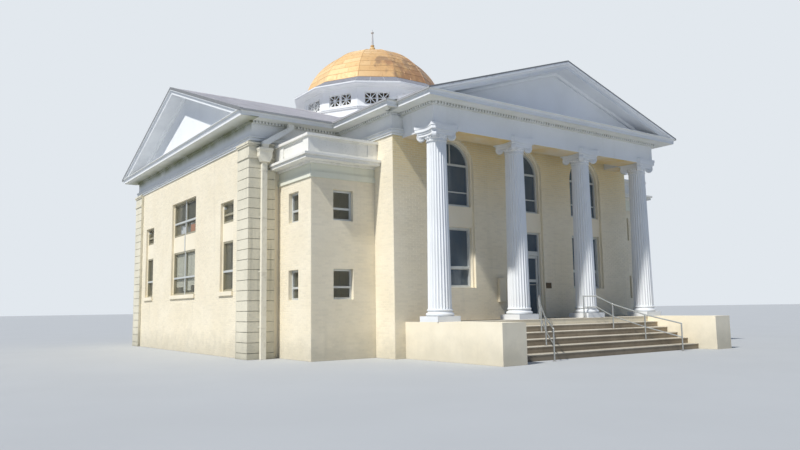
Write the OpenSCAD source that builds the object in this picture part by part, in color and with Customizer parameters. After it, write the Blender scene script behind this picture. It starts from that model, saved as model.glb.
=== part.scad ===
// Town hall with a portico, two wings and a twelve sided dome.
// Units are millimetres. The front faces -Y, the wings lie along X and
// the origin is on the ground under the centre of the dome.

/* [Plan] */
// Side of the arms beyond the portico beam
arm_beyond = 360; // [340:10:600]
// Centre of the dome to the face of the front and back walls
arm_end = 9000; // [8400:50:11000]
// Half depth of the wings
wing_half = 6000; // [5600:50:6800]
// End face of a wing beyond the corner block
wing_beyond = 920; // [900:10:2000]
// Width of a corner block beyond the arm
corner_w = 2110; // [1700:10:2400]
// Depth of a corner block in front of the wing
corner_d = 2040; // [1700:10:2200]
// Thickness of the main walls
wall_t = 350; // [300:10:450]
// Thickness of the corner block walls
corner_t = 250; // [200:10:300]

/* [Heights] */
// Height of one riser
riser = 170; // [150:5:185]
// Number of risers up to the floor
risers = 6; // [5:1:7]
// Thickness of the raft under the building
raft_t = 200; // [150:10:400]
// Thickness of the floor slabs
slab_t = 200; // [150:10:240]
// Top of the upper floor
upper_floor_z = 4050; // [4000:10:4100]
// Underside of the band below the frieze
band_z = 6350; // [6300:10:6450]
// Height of the band
band_h = 190; // [140:10:240]
// Height of the frieze above the band
frieze_h = 400; // [300:10:500]
// Height of the bed mould
bed_h = 68; // [50:2:90]
// Height of the corona and gutter
crown_h = 162; // [120:2:220]
// Overhang of the corona
corona_out = 450; // [350:10:550]
// Overhang of the gutter
crown_out = 604; // [560:2:720]

/* [Portico] */
// Distance between column axes
column_pitch = 3000; // [2800:20:3000]
// Column axes in front of the front wall
column_out = 1080; // [1000:10:1400]
// Diameter at the foot of a shaft
column_d = 660; // [560:10:700]
// Diameter at the neck of a shaft
neck_d = 550; // [460:10:560]
// Side of a column plinth
plinth_w = 790; // [760:10:860]
// Height of a column plinth
plinth_h = 150; // [100:10:200]
// Height of the mouldings above the plinth
base_h = 190; // [150:10:220]
// Height of a capital
capital_h = 310; // [280:10:360]
// Width of the abacus
abacus_w = 960; // [900:10:1000]
// Height by which the abacus laps the sides of the beam
abacus_lap = 150; // [60:10:180]
// Flutes round a shaft
flutes = 24; // [16:4:24]
// Half width of the beam over the columns
beam_half = 390; // [370:10:420]
// Underside of the beam
beam_z = 6290; // [6200:10:6330]
// Depth of the portico ceiling
ceiling_t = 200; // [100:10:240]

/* [Steps] */
// Depth of a tread
tread = 358; // [300:2:380]
// Cheek wall in front of the lowest riser
cheek_out = 634; // [400:2:800]
// Thickness of a handrail pipe
rail_d = 42; // [34:1:48]
// Height of the handrail over a nosing
rail_h = 780; // [700:10:900]
// Handrail splay from the centre line, top and bottom
rail_top_x = 1000; // [800:20:1400]
rail_foot_x = 2800; // [2000:20:3200]

/* [Openings] */
// Half width of a bay in the front wall
bay_half = 790; // [700:10:850]
// Depth of the recessed bays
recess = 80; // [50:5:110]
// Margin between a recess and its window
margin = 60; // [40:5:80]
// Head of the lower front windows and of the door
lower_head = 3820; // [3780:10:3840]
// Sill of the lower front windows
front_sill = 1990; // [1700:10:2300]
// Sill of the upper front windows
arch_sill = 4460; // [4400:10:4800]
// Springing of the upper front windows
spring_z = 5720; // [5500:10:5800]
// Sill of the lower windows at the sides
side_sill = 2000; // [1800:10:2300]
// Head of the lower windows at the sides
side_head = 3580; // [3400:10:3700]
// Sill of the upper windows at the sides
upper_sill = 4160; // [4110:10:4300]
// Head of the wide upper windows
wide_head = 5420; // [5100:10:5900]
// Head of the narrow upper windows
narrow_head = 4820; // [4700:10:5600]
// Width of the wide windows
wide_w = 2500; // [1800:20:2800]
// Width of the narrow windows
narrow_w = 950; // [700:10:1200]
// Centre of the narrow windows on the wings
narrow_x = 4200; // [3400:20:4300]
// Centre of the narrow windows on the back wall
back_narrow_x = 3500; // [3100:20:3700]
// Depth of the frames behind the wall face
reveal = 170; // [130:5:200]
// Depth of the side window frames behind the wall face
side_reveal = 90; // [85:5:150]
// Clearance round the frame of an arched window
seat = 2; // [2:1:5]
// Height of the lower rail in an arched window, from its sill
light_rail = 430; // [300:10:600]
// Depth of a window frame
frame_d = 50; // [40:2:70]
// Width of a frame member
frame_w = 60; // [40:2:80]
// Thickness of the glass
glass_t = 8; // [6:1:12]

/* [Door] */
// Top of the door leaves
door_head = 3060; // [2900:10:3120]
// Height of the bar over the leaves
transom_h = 140; // [80:5:160]
// Thickness of a leaf
leaf_t = 50; // [40:2:60]
// Width of the stiles and rails of a leaf
stile_w = 90; // [70:5:120]
// Running gap round a leaf
door_gap = 5; // [5:0.5:8]
// Radius of a pivot pin
pivot_r = 8; // [6:0.5:10]

/* [Corner blocks] */
// Underside of the corner block cornice
corner_cornice_z = 5480; // [5350:10:5600]
// Height of the corner block cornice
corner_cornice_h = 220; // [160:10:260]
// Overhang of the corner block cornice
corner_out = 390; // [300:10:450]
// Height of the parapet
parapet_h = 570; // [450:10:600]
// Thickness of the parapet
parapet_t = 220; // [180:10:260]
// Sill and head of the lower windows
corner_low_sill = 1670; // [1500:10:1900]
corner_low_head = 2530; // [2300:10:2800]
// Sill and head of the upper windows
corner_high_sill = 3900; // [3700:10:4100]
corner_high_head = 4780; // [4500:10:4900]
// Width of the windows in front
corner_win_w = 650; // [500:10:800]
// Width of the windows at the side
corner_slit_w = 620; // [400:10:700]

/* [Roofs] */
// Rise of the wing roofs
wing_rise = 2400; // [1900:20:2600]
// Slope of the arm and portico roofs, rise over run
arm_slope = 0.3236; // [0.26:0.002:0.34]
// Thickness of the roof plates, measured upright
roof_t = 80; // [60:2:100]
// Thickness of the gable walls
gable_t = 200; // [150:10:250]

/* [Dome] */
// Corner radius of the drum
drum_r = 3050; // [2800:10:3200]
// Thickness of the drum wall
drum_t = 220; // [150:10:260]
// Top of the drum wall
drum_top = 10200; // [10150:10:10400]
// Overhang of the drum cornice at a corner
drum_out = 450; // [350:10:500]
// Foot of the dome behind the corners of the drum wall
dome_in = 120; // [60:10:200]
// Foot of the dome
dome_z = 10650; // [10600:10:10800]
// Bed between the cornice of the drum and the dome
dome_bed = 0.1; // [0.05:0.05:0.5]
// Rise of the dome
dome_rise = 2020; // [1700:20:2400]
// Thickness of the dome shell
dome_t = 70; // [50:5:100]
// Side of a grille opening
grille_w = 490; // [400:10:500]
// Foot of the grille openings
grille_z = 9500; // [9460:10:9580]
// Height of the finial
finial_h = 1120; // [700:20:1300]

/* [Hidden] */
floor_z = riser * risers;
cornice_z = band_z + band_h + frieze_h;
eaves_z = cornice_z + bed_h + crown_h;
column_x = 1.5 * column_pitch;
beam_x = column_x + beam_half;
arm_half = beam_x + arm_beyond;
corner_x = arm_half + corner_w;
wing_end = corner_x + wing_beyond;
corner_y = wing_half + corner_d;
column_y = arm_end + column_out;
dome_r = drum_r - dome_in;
beam_y = column_y + beam_half;
podium_y = column_y + plinth_w / 2 + 15;
podium_x = column_x + plinth_w / 2;
cheek_x = column_x - plinth_w / 2;
flight_y = podium_y + (risers - 1) * tread;
cheek_y = flight_y + cheek_out;
wing_slope = wing_rise / (wing_half + crown_out);
portico_rise = arm_slope * (beam_x + crown_out);
arm_rise = arm_slope * (arm_half + crown_out);
apex_z = dome_z + dome_rise;
hinge_x = bay_half - margin - frame_w - door_gap - leaf_t / 2;
leaf_y = arm_end - reveal - leaf_t / 2 - 5;
sill_gap = 8;
cream = "#ece2c6"; white = "#f1f1ee"; grey_roof = "#b9bdc2"; gold = "#d8a548";
concrete = "#8c8275"; glass_c = "#39444c"; metal = "#d5d9db"; steel = "#9aa09f";

module box(x0, x1, y0, y1, z0, z1)
  translate([min(x0, x1), min(y0, y1), min(z0, z1)])
    cube([abs(x1 - x0), abs(y1 - y0), abs(z1 - z0)]);
// Copies for the four corners, with the first in front on the left
module corners() for (i = [0, 1], j = [0, 1]) mirror([i, 0, 0]) mirror([0, j, 0]) children();
module both() for (i = [0, 1]) mirror([i, 0, 0]) children();

// Ground works
module foundation() color(concrete) linear_extrude(raft_t) inner_plan();
module inner_plan() {
  square([2 * (arm_half - wall_t), 2 * (arm_end - wall_t)], center = true);
  square([2 * (wing_end - wall_t), 2 * (wing_half - wall_t)], center = true);
}
module podium() color(concrete) {
  box(-podium_x, podium_x, -podium_y, -arm_end, 0, floor_z);
  box(-bay_half, bay_half, -arm_end, -arm_end + wall_t, 0, floor_z);
}
module cheek_walls() color(cream)
  both() box(-podium_x, -cheek_x, -cheek_y, -podium_y, 0, floor_z);
module entrance_steps() color(concrete)
  for (k = [1 : risers - 1])
    box(-cheek_x, cheek_x, -podium_y - (risers - k) * tread, -podium_y, (k - 1) * riser, k * riser);

// Handrails
rail_points = [
  [rail_top_x, podium_y - 90, floor_z],
  [rail_top_x + 0.33 * (rail_foot_x - rail_top_x), podium_y + 1.5 * tread, floor_z - 2 * riser],
  [rail_top_x + 0.66 * (rail_foot_x - rail_top_x), podium_y + 3.5 * tread, floor_z - 4 * riser],
  [rail_foot_x, flight_y + 300, 0]];
module pipe(a, b, d, turn = 0) {
  v = b - a; l = norm(v);
  translate(a) rotate([0, acos(v[2] / l), atan2(v[1], v[0])]) rotate(turn) cylinder(h = l, d = d, $fn = 24);
}
rail_tops = [0.86, 0.96, 0.97, 1.05];
function rail_at(k, f) =
  [-rail_points[k][0], -rail_points[k][1], rail_points[k][2] + f * rail_tops[k] * rail_h];
function unit(v) = v / norm(v);
module rail_run(f, d, balls) {
  a = rail_at(0, f); b = rail_at(1, f);
  bend = [a[0] + 0.44 * (b[0] - a[0]), a[1] + 0.44 * (b[1] - a[1]), a[2]];
  p = [a, bend, b, rail_at(2, f), rail_at(3, f)];
  for (i = [0 : 3]) pipe(p[i], p[i + 1], d, 15 + 30 * i);
  for (i = balls) translate(p[i]) sphere(d = d + 10, $fn = 24);
  half_collar = 7.5 * (unit(bend - a) + unit(b - bend));
  pipe(bend - half_collar, bend + half_collar, d + 12, 80);
}
// The top rail has a ball on each post. The mid rail ends inside the posts. Both have a collar at the bend.
module handrails() color(steel) both() {
  for (k = [0 : 3]) pipe(rail_at(k, 0), rail_at(k, 1), rail_d);
  rail_run(1, rail_d - 2, [0, 2, 3, 4]);
  rail_run(0.5, rail_d - 10, []);
}

// Floors and deck
module corner_plan()
  corners() translate([-corner_x + corner_t, -corner_y + corner_t])
    square([corner_w - corner_t, corner_d - corner_t]);
module ground_floor() color(concrete)
  translate([0, 0, floor_z - slab_t]) linear_extrude(slab_t) { inner_plan(); corner_plan(); }
module upper_floor() color(concrete) {
  translate([0, 0, upper_floor_z - slab_t]) linear_extrude(slab_t) inner_plan();
  translate([0, 0, (corner_low_head + corner_high_sill - slab_t) / 2]) linear_extrude(slab_t) corner_plan();
}
module cross_plan(d) {
  square([2 * (arm_half + d), 2 * (arm_end + d)], center = true);
  square([2 * (wing_end + d), 2 * (wing_half + d)], center = true);
}
deck_in = 200;
module roof_deck() color(grey_roof) {
  translate([0, 0, cornice_z]) linear_extrude(bed_h + crown_h) {
    cross_plan(-deck_in);
    polygon([[-arm_half + deck_in, -arm_end + deck_in], [-arm_half, -arm_end],
      [arm_half, -arm_end], [arm_half - deck_in, -arm_end + deck_in]]);
  }
  translate([0, 0, corner_cornice_z]) linear_extrude(corner_cornice_h)
    corners() translate([-corner_x + 130, -corner_y + 130]) square([corner_w - 130, corner_d - 130]);
}

// Walls. Each is drawn facing the front and turned to its side.
module hole(x, w, z0, z1, e) box(x - w / 2, x + w / 2, -e - 10, -e + wall_t + 10, z0, z1);
module shallow(x, w, z0, z1, e) box(x - w / 2, x + w / 2, -e - 10, -e + recess, z0, z1);
module arch_hole(x, r, z0, e, depth) translate([x, -e - 10, 0]) rotate([-90, 0, 0])
  linear_extrude(depth + 10) { translate([0, -spring_z]) circle(r, $fn = 64);
    translate([-r, -spring_z]) square([2 * r, spring_z - z0]); }
module front_cuts() for (x = [-column_pitch, 0, column_pitch]) {
  arch_hole(x, bay_half, (x == 0) ? floor_z : front_sill, arm_end, recess);
  arch_hole(x, bay_half - margin, arch_sill, arm_end, wall_t + 20);
  hole(x, 2 * (bay_half - margin), (x == 0) ? floor_z : front_sill, lower_head, arm_end);
}
module front_walls() color(cream) both() difference() {
  box(-arm_half, -bay_half, -arm_end, -arm_end + wall_t, 0, cornice_z);
  front_cuts();
}
module front_wall_over_door() color(cream) difference() {
  box(-bay_half, bay_half, -arm_end, -arm_end + wall_t, floor_z, cornice_z);
  front_cuts();
}
function wide_windows() = [[0, wide_w, side_sill, side_head], [0, wide_w, upper_sill, wide_head]];
function narrow_windows(x) = [for (s = [-1, 1]) each
  [[s * x, narrow_w, side_sill, side_head], [s * x, narrow_w, upper_sill, narrow_head]]];
module side_cuts(e, nx) {
  shallow(0, wide_w + 2 * margin, side_sill, wide_head, e);
  for (s = [-1, 1]) shallow(s * nx, narrow_w + 2 * margin, side_sill, narrow_head, e);
  for (w = concat(wide_windows(), narrow_windows(nx))) hole(w[0], w[1], w[2], w[3], e);
}
sill_h = 130; sill_out = 60;
module sills(e, nx) for (w = [[0, wide_w], [-nx, narrow_w], [nx, narrow_w]])
  box(w[0] - w[1] / 2 - 100, w[0] + w[1] / 2 + 100, -e - sill_out, -e, side_sill - sill_h, side_sill);
module side_wall(e, half, nx) {
  difference() {
    box(-half, half, -e, -e + wall_t, 0, cornice_z);
    side_cuts(e, nx);
  }
  sills(e, nx);
}
module wing_end_walls() color(cream) for (a = [-90, 90]) rotate(a) side_wall(wing_end, wing_half, narrow_x);
module back_wall() color(cream) rotate(180) side_wall(arm_end, arm_half, back_narrow_x);
module inner_walls() color(cream) corners() {
  box(-arm_half, -arm_half + wall_t, -arm_end + wall_t, -wing_half + wall_t, 0, cornice_z);
  box(-wing_end + wall_t, -arm_half, -wing_half, -wing_half + wall_t, 0, cornice_z);
}

// Corner blocks
corner_wx = (corner_x + arm_half) / 2 + 20;
corner_wy = (corner_y + wing_half) / 2 - 40;
corner_rows = [[corner_low_sill, corner_low_head], [corner_high_sill, corner_high_head]];
module corner_walls() color(cream) corners() difference() {
  union() {
    box(-corner_x, -arm_half, -corner_y, -corner_y + corner_t, 0, corner_cornice_z);
    box(-corner_x, -corner_x + corner_t, -corner_y, -wing_half, 0, corner_cornice_z);
    corner_run(40, 0, corner_cornice_z - 400, corner_cornice_z - 240);
  }
  for (r = corner_rows) {
    box(-corner_wx - corner_win_w / 2, -corner_wx + corner_win_w / 2,
      -corner_y - 10, -corner_y + corner_t + 10, r[0], r[1]);
    box(-corner_x - 10, -corner_x + corner_t + 10,
      -corner_wy - corner_slit_w / 2, -corner_wy + corner_slit_w / 2, r[0], r[1]);
  }
}
// An L shaped run round the two outer sides of a corner block
module corner_run(out, in, z0, z1) {
  box(-corner_x - out, -arm_half, -corner_y - out, -corner_y + in, z0, z1);
  box(-corner_x - out, -corner_x + in, -corner_y - out, -wing_half, z0, z1);
}
parapet_out = 180;
module corner_parapets() color(white) corners() {
  z0 = corner_cornice_z; z1 = z0 + corner_cornice_h; z2 = z1 + parapet_h;
  difference() {
    union() {
      corner_run(60, 130, z0, z0 + 60);
      corner_run(corner_out - 50, 130, z0 + 60, z0 + 150);
      corner_run(corner_out, 130, z0 + 150, z1);
      corner_run(parapet_out, parapet_t - parapet_out, z1, z2 - 70);
      corner_run(parapet_out + 60, parapet_t - parapet_out + 40, z2 - 70, z2);
    }
    quoin_body();
    box(-corner_x - parapet_out + 330, -arm_half - 330, -corner_y - parapet_out - 100,
      -corner_y - parapet_out + 25, z1 + 90, z2 - 120);
    box(-corner_x - parapet_out - 100, -corner_x - parapet_out + 25,
      -corner_y - parapet_out + 330, -wing_half - crown_out - 60, z1 + 90, z2 - 120);
  }
}

// Rusticated quoins at the wing corners
quoin_out = 100; quoin_w = 750; course_h = 300; joint_h = 18; quoin_cap = 480;
module quoin_run(out, z0, z1) {
  box(-wing_end - out, -wing_end, -wing_half - out, -wing_half + quoin_w, z0, z1);
  box(-wing_end - out, -wing_end + quoin_w, -wing_half - out, -wing_half, z0, z1);
}
module quoins() color(cream) corners() quoin_body();
module quoin_body() {
  top = band_z - quoin_cap; n = floor(top / course_h);
  quoin_run(quoin_out - 20, 0, top);
  for (k = [0 : n]) quoin_run(quoin_out, max(0, top - (k + 1) * course_h + joint_h), top - k * course_h);
  quoin_run(quoin_out + 30, top, top + 60);
  quoin_run(quoin_out, top + 60, band_z - 110);
  quoin_run(quoin_out + 30, band_z - 110, band_z - 60);
  quoin_run(quoin_out + 50, band_z - 60, band_z);
}

// Band and frieze, planted on the wall faces
band_out = 70; frieze_out = 20;
module face_run(out, z0, z1) corners() {
  box(-wing_end - out, -wing_end, -wing_half - out, 0, z0, z1);
  box(-wing_end - out, -arm_half, -wing_half - out, -wing_half, z0, z1);
  box(-arm_half - out, -arm_half, -arm_end - out, -wing_half, z0, z1);
}
module end_run(out, z0, z1) {
  box(-arm_half - out, arm_half + out, arm_end, arm_end + out, z0, z1);
  both() box(-arm_half - out, -beam_x, -arm_end - out, -arm_end, z0, z1);
}
// A comb of dentils along a face at y = -e, one pitch apart
dentil_pitch = 106; dentil_w = 60;
module comb(e, x0, x1) {
  n = floor((x1 - x0) / dentil_pitch); x = (x0 + x1 - n * dentil_pitch + dentil_pitch - dentil_w) / 2;
  teeth = [for (i = [0 : n - 1]) let (a = x + i * dentil_pitch)
    each [[a, -e - 75], [a, -e - 135], [a + dentil_w, -e - 135], [a + dentil_w, -e - 75]]];
  polygon(concat([[x1, -e - 60], [x0, -e - 60], [x0, -e - 75]], teeth, [[x1, -e - 75]]));
}
module dentils() translate([0, 0, cornice_z + 4]) linear_extrude(bed_h - 4) {
  corners() comb(wing_half, -wing_end - 60, -arm_half - 60);
  both() {
    rotate(90) comb(arm_half, wing_half + 60, arm_end + 60);
    rotate(90) comb(arm_half, -arm_end, -wing_half - 60);
    rotate(90) comb(beam_x, -beam_y - 60, -arm_end);
  }
  comb(beam_y, -beam_x - 60, beam_x + 60);
}
module frieze() color(white) {
  dentils();
  rows = [[band_out - 30, 0, 60], [band_out, 60, 150], [band_out + 20, 150, band_h],
    [frieze_out, band_h, band_h + frieze_h]];
  for (r = rows) {
    face_run(r[0], band_z + r[1], band_z + r[2]);
    end_run(r[0], band_z + r[1], band_z + r[2]);
  }
}

// Cornices. The profile runs outward along X from the wall face, from z = 0 up.
function cornice_profile() = [
  [-deck_in, 0], [60, 0], [60, bed_h], [corona_out, bed_h], [corona_out, bed_h + 0.5 * crown_h],
  [corona_out + 40, bed_h + 0.6 * crown_h], [crown_out - 40, bed_h + 0.85 * crown_h],
  [crown_out, bed_h + 0.9 * crown_h], [crown_out, bed_h + crown_h], [-deck_in, bed_h + crown_h]];
// One straight run on a face at y = -e from x0 to x1, with mitres.
// m0 and m1 are 1 at an outward corner, -1 at an inward one and 0 for a square end.
module cornice_run(e, x0, x1, m0, m1, inner = -deck_in) intersection() {
  translate([x0 - crown_out, -e, cornice_z]) rotate([90, 0, 90])
    linear_extrude(x1 - x0 + 2 * crown_out)
      polygon([for (p = cornice_profile()) [-max(p[0], inner), p[1]]]);
  linear_extrude(eaves_z + 100) polygon([
    [x0 - m0 * inner, -e - inner], [x1 + m1 * inner, -e - inner],
    [x1 + m1 * crown_out, -e - crown_out], [x0 - m0 * crown_out, -e - crown_out]]);
}
module wing_cornices() color(white) for (a = [-90, 90]) rotate(a) {
  cornice_run(wing_end, -wing_half, wing_half, 1, 1);
  rotate(-90) cornice_run(wing_half, -wing_end, -arm_half, 1, -1);
  rotate(90) cornice_run(wing_half, arm_half, wing_end, -1, 1);
}
return_x = beam_x + crown_out;
module arm_cornices() color(white) difference() {
  union() {
    rotate(180) cornice_run(arm_end, -arm_half, arm_half, 1, 1);
    for (a = [-90, 90]) rotate(a) {
      cornice_run(arm_half, wing_half, arm_end, -1, 1);
      cornice_run(arm_half, -arm_end, -wing_half, 1, -1);
    }
    both() cornice_run(arm_end, -arm_half, -return_x, 1, 0);
  }
  box(-return_x, return_x, -arm_end - 2 * crown_out, -arm_end, 0, eaves_z + crown_h);
}

// Rainwater head, downpipe and branch at the front of the left wing
pipe_x = wing_end - 360; pipe_w = 160; duct_w = 190; duct_run = 830; duct_out = 155; duct_t = 130;
head_top = band_z - 170; head_h = 420; head_w = 400; head_d = 200;
module rainwater() color(white) {
  difference() {
    translate([-pipe_x, -wing_half - quoin_out, 0]) {
      box(-pipe_w / 2, pipe_w / 2, -120, 0, 0, head_top - head_h);
      rotate([90, 0, 0]) linear_extrude(head_d) polygon([[-head_w / 2, head_top], [head_w / 2, head_top],
        [head_w / 2, head_top - 250], [0.3 * head_w, head_top - head_h], [-0.3 * head_w, head_top - head_h],
        [-head_w / 2, head_top - 250]]);
      box(-head_w / 2 - 25, head_w / 2 + 25, -head_d - 25, 0, head_top - 70, head_top);
      box(-head_w / 2 - 12, head_w / 2 + 12, -head_d - 12, 0, head_top - 110, head_top - 70);
    }
    quoin_body();
  }
  translate([-pipe_x, -wing_half - duct_out, 0]) rotate([90, 0, 0]) linear_extrude(duct_t)
    polygon([[-duct_w / 2, head_top], [duct_w / 2, head_top], [duct_w / 2, head_top + 110],
      [duct_run + duct_w / 2, cornice_z - 80], [duct_run + duct_w / 2, cornice_z + bed_h],
      [duct_run - duct_w / 2, cornice_z + bed_h], [duct_run - duct_w / 2, cornice_z - 40],
      [-duct_w / 2, head_top + 190]]);
}

// Columns
module at_columns() for (k = [-1.5, -0.5, 0.5, 1.5]) translate([k * column_pitch, -column_y, 0]) children();
module column_bases() color(white) at_columns() translate([0, 0, floor_z]) {
  translate([-plinth_w / 2, -plinth_w / 2, 0]) cube([plinth_w, plinth_w, plinth_h]);
  translate([0, 0, plinth_h]) rotate_extrude($fn = 64) polygon(concat([[0, 0]],
    [for (a = [-90 : 15 : 90]) [column_d / 2 + 12 + 0.25 * base_h * cos(a), 0.25 * base_h * (1 + sin(a))]],
    [for (a = [-90 : 15 : 90]) [column_d / 2 + 0.15 * base_h * cos(a), base_h * (0.85 + 0.15 * sin(a))]],
    [[0, base_h]]));
}
shaft_z = floor_z + plinth_h + base_h;
shaft_h = beam_z - capital_h - shaft_z;
module column_shafts() color(white) at_columns() translate([0, 0, shaft_z])
  linear_extrude(shaft_h, scale = neck_d / column_d) fluted(column_d / 2);
module fluted(r) polygon([for (i = [0 : flutes - 1], t = [0, 0.2, 0.5, 0.8])
  let (a = 360 * (i + t) / flutes, d = (t == 0) ? 0 : (t == 0.5) ? 0.09 : 0.055)
    r * (1 - d) * [cos(a), sin(a)]]);
// Ionic capital with corner volutes under a hollow sided abacus, whose rim laps the beam
volute_r = 0.42 * capital_h;
canal_h = 0.23 * capital_h;
canal_z = 0.52 * capital_h;
module abacus_plan(w) intersection() {
  difference() {
    square(w, center = true);
    for (a = [0 : 90 : 270]) rotate(a) translate([0, w * 1.42]) circle(w, $fn = 96);
  }
  rotate(45) square(w * 1.3, center = true);
}
// A band that winds in from radius r0 to r1 while its width shrinks in step
module spiral(r0, r1, turns, n) {
  function r(i) = r0 + (r1 - r0) * i / n;
  function at(i, k) = (r(i) * (1 - k)) * [cos(90 - 360 * turns * i / n), sin(90 - 360 * turns * i / n)];
  polygon(concat([for (i = [0 : n]) at(i, 0)], [for (i = [n : -1 : 0]) at(i, 0.22)]));
}
module volute() rotate([90, 0, 0]) {
  translate([0, 0, -50]) cylinder(h = 100, r = volute_r - 12, $fn = 48);
  translate([0, 0, -66]) linear_extrude(132) spiral(volute_r, 0.3 * volute_r, 1.75, 28);
  translate([0, 0, -70]) cylinder(h = 140, r = 0.2 * volute_r, $fn = 24);
}
module capital() {
  r = neck_d / 2;
  rotate_extrude($fn = 48) polygon([[0, 0], [r, 0], [r + 20, 10], [r + 20, 28], [r, 38], [r + 4, 70],
    [r + 26, 110], [r + 44, canal_z], [0, canal_z]]);
  for (a = [0 : 90 : 270], b = [-22, 0, 22]) rotate(a + b)
    translate([r + 24, 0, canal_z - 52]) sphere(r = 34, $fn = 24);
  translate([0, 0, canal_z]) linear_extrude(canal_h) abacus_plan(abacus_w * 0.82);
  translate([0, 0, canal_z + canal_h]) linear_extrude(capital_h - canal_z - canal_h - 24)
    abacus_plan(abacus_w * 0.88);
  translate([0, 0, capital_h - 24]) linear_extrude(24 + 0.45 * abacus_lap) abacus_plan(abacus_w * 0.97);
  translate([0, 0, capital_h + 0.45 * abacus_lap]) linear_extrude(0.55 * abacus_lap) abacus_plan(abacus_w);
  for (a = [45 : 90 : 315]) rotate(a) translate([abacus_w * 0.45, 0, capital_h - 24 - volute_r]) volute();
}
module column_capitals() color(white) difference() {
  at_columns() translate([0, 0, beam_z - capital_h]) capital();
  portico_beam();
}

// Portico beam, ceiling, cornice and roof
module portico_beam() color(white) {
  box(-beam_x, beam_x, -beam_y, -beam_y + 2 * beam_half, beam_z, cornice_z);
  both() box(-beam_x, -beam_x + 2 * beam_half, -beam_y, -arm_end, beam_z, cornice_z);
}
module portico_ceiling() color(cream)
  box(-beam_x + 2 * beam_half, beam_x - 2 * beam_half, -beam_y + 2 * beam_half, -arm_end,
    cornice_z - ceiling_t, cornice_z);
portico_in = 1.33 * corona_out;
module portico_cornice() color(white) {
  cornice_run(beam_y, -beam_x, beam_x, 1, 1, -portico_in);
  rotate(-90) cornice_run(beam_x, arm_end, beam_y, 0, 1, -portico_in);
  rotate(90) cornice_run(beam_x, -beam_y, -arm_end, 1, 0, -portico_in);
}
// Gable outline between the foot at half width h and the ridge, dropped by d
module gable(h, slope, d) polygon([[-(h - d / slope), 0], [h - d / slope, 0], [0, h * slope - d]]);
module along(e, len)
  translate([0, -e, eaves_z]) rotate([90, 0, 180]) mirror([1, 0, 0]) linear_extrude(len) children();
module roof_prism(h, slope, d, e, len) along(e, len) gable(h, slope, d);
// The strip of a gable between the depths a and b under its slopes
module gable_strip(h, slope, a, b) polygon([[-h + a / slope, 0], [0, h * slope - a], [h - a / slope, 0],
  [h - b / slope, 0], [0, h * slope - b], [-h + b / slope, 0]]);
module roof_shell(h, slope, e, len) along(e, len) gable_strip(h, slope, 0, roof_t);
module drum_core(r) rotate(15) cylinder(r = r, h = apex_z, $fn = 12);
module wing_core(d) for (a = [90, -90]) rotate(a)
  roof_prism(wing_half + crown_out, wing_slope, d, wing_end + crown_out, wing_end + crown_out);
module arm_core(d) for (a = [0, 180]) rotate(a)
  roof_prism(arm_half + crown_out, arm_slope, d, arm_end + crown_out, arm_end + crown_out);
module wing_roofs() color(grey_roof) for (a = [90, -90]) rotate(a) difference() {
  roof_shell(wing_half + crown_out, wing_slope, wing_end + crown_out, wing_end + crown_out);
  rotate(-a) arm_core(roof_t);
  drum_core(drum_r);
}
module arm_roofs() color(grey_roof) for (a = [0, 180]) rotate(a) difference() {
  roof_shell(arm_half + crown_out, arm_slope, arm_end + crown_out, arm_end + crown_out);
  wing_core(0);
  drum_core(drum_r);
}
module portico_roof() color(grey_roof)
  roof_shell(return_x, arm_slope, beam_y + crown_out, beam_y + crown_out - arm_end);
module gable_wall(h, slope, e, t) along(e, t) gable(h, slope, roof_t);
module gable_walls() color(white) {
  for (a = [90, -90]) rotate(a)
    gable_wall(wing_half + crown_out, wing_slope, wing_end - frieze_out, gable_t);
  rotate(180) gable_wall(arm_half + crown_out, arm_slope, arm_end - frieze_out, gable_t);
  gable_wall(arm_half + crown_out, arm_slope, arm_end, gable_t);
  gable_wall(return_x, arm_slope, beam_y - frieze_out, gable_t);
}
// Raking cornice in three bands under the roof
module rake(h, slope, e)
  for (b = [[crown_out, 0, 0.5 * crown_h], [corona_out, 0.5 * crown_h, crown_h],
      [60, crown_h, crown_h + bed_h]])
    along(e + b[0], b[0] + frieze_out) gable_strip(h, slope, roof_t + b[1], roof_t + b[2]);
module raking_cornices() color(white) {
  for (a = [90, -90]) rotate(a) rake(wing_half + crown_out, wing_slope, wing_end);
  rotate(180) rake(arm_half + crown_out, arm_slope, arm_end);
  rake(return_x, arm_slope, beam_y);
}

// Drum, dome and finial
drum_apothem = drum_r * cos(15);
grille_x = grille_w / 2 + 15;
module at_grilles() for (k = [0 : 11], s = [-1, 1]) rotate(30 * k)
  translate([s * grille_x, -drum_apothem, grille_z]) children();
module drum_ring(out, z0, z1)
  rotate(15) translate([0, 0, z0]) cylinder(r = drum_r + out, h = z1 - z0, $fn = 12);
module drum_wall() color(white) difference() {
  union() {
    drum_ring(0, eaves_z, drum_top);
    difference() {
      union() {
        drum_ring(45, grille_z - 160, grille_z - 110);
        drum_ring(70, grille_z - 110, grille_z - 70);
        drum_ring(30, grille_z - 460, grille_z - 400);
      }
      wing_core(0);
      arm_core(0);
    }
  }
  rotate(15) translate([0, 0, eaves_z - 1])
    cylinder(r = drum_r - drum_t, h = drum_top - eaves_z + 2, $fn = 12);
  at_grilles() translate([-grille_w / 2, -10, 0]) cube([grille_w, drum_t + 20, grille_w]);
}
bar_w = 34; bar_t = 30;
module grille_face() {
  difference() { square(grille_w, center = true); square(grille_w - 2 * bar_w, center = true); }
  intersection() {
    square(grille_w, center = true);
    for (a = [0 : 45 : 135]) rotate(a) square([2 * grille_w, bar_w], center = true);
  }
}
module drum_grilles() color(white) at_grilles() translate([0, 40 + bar_t, grille_w / 2]) rotate([90, 0, 0])
  linear_extrude(bar_t) grille_face();
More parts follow.
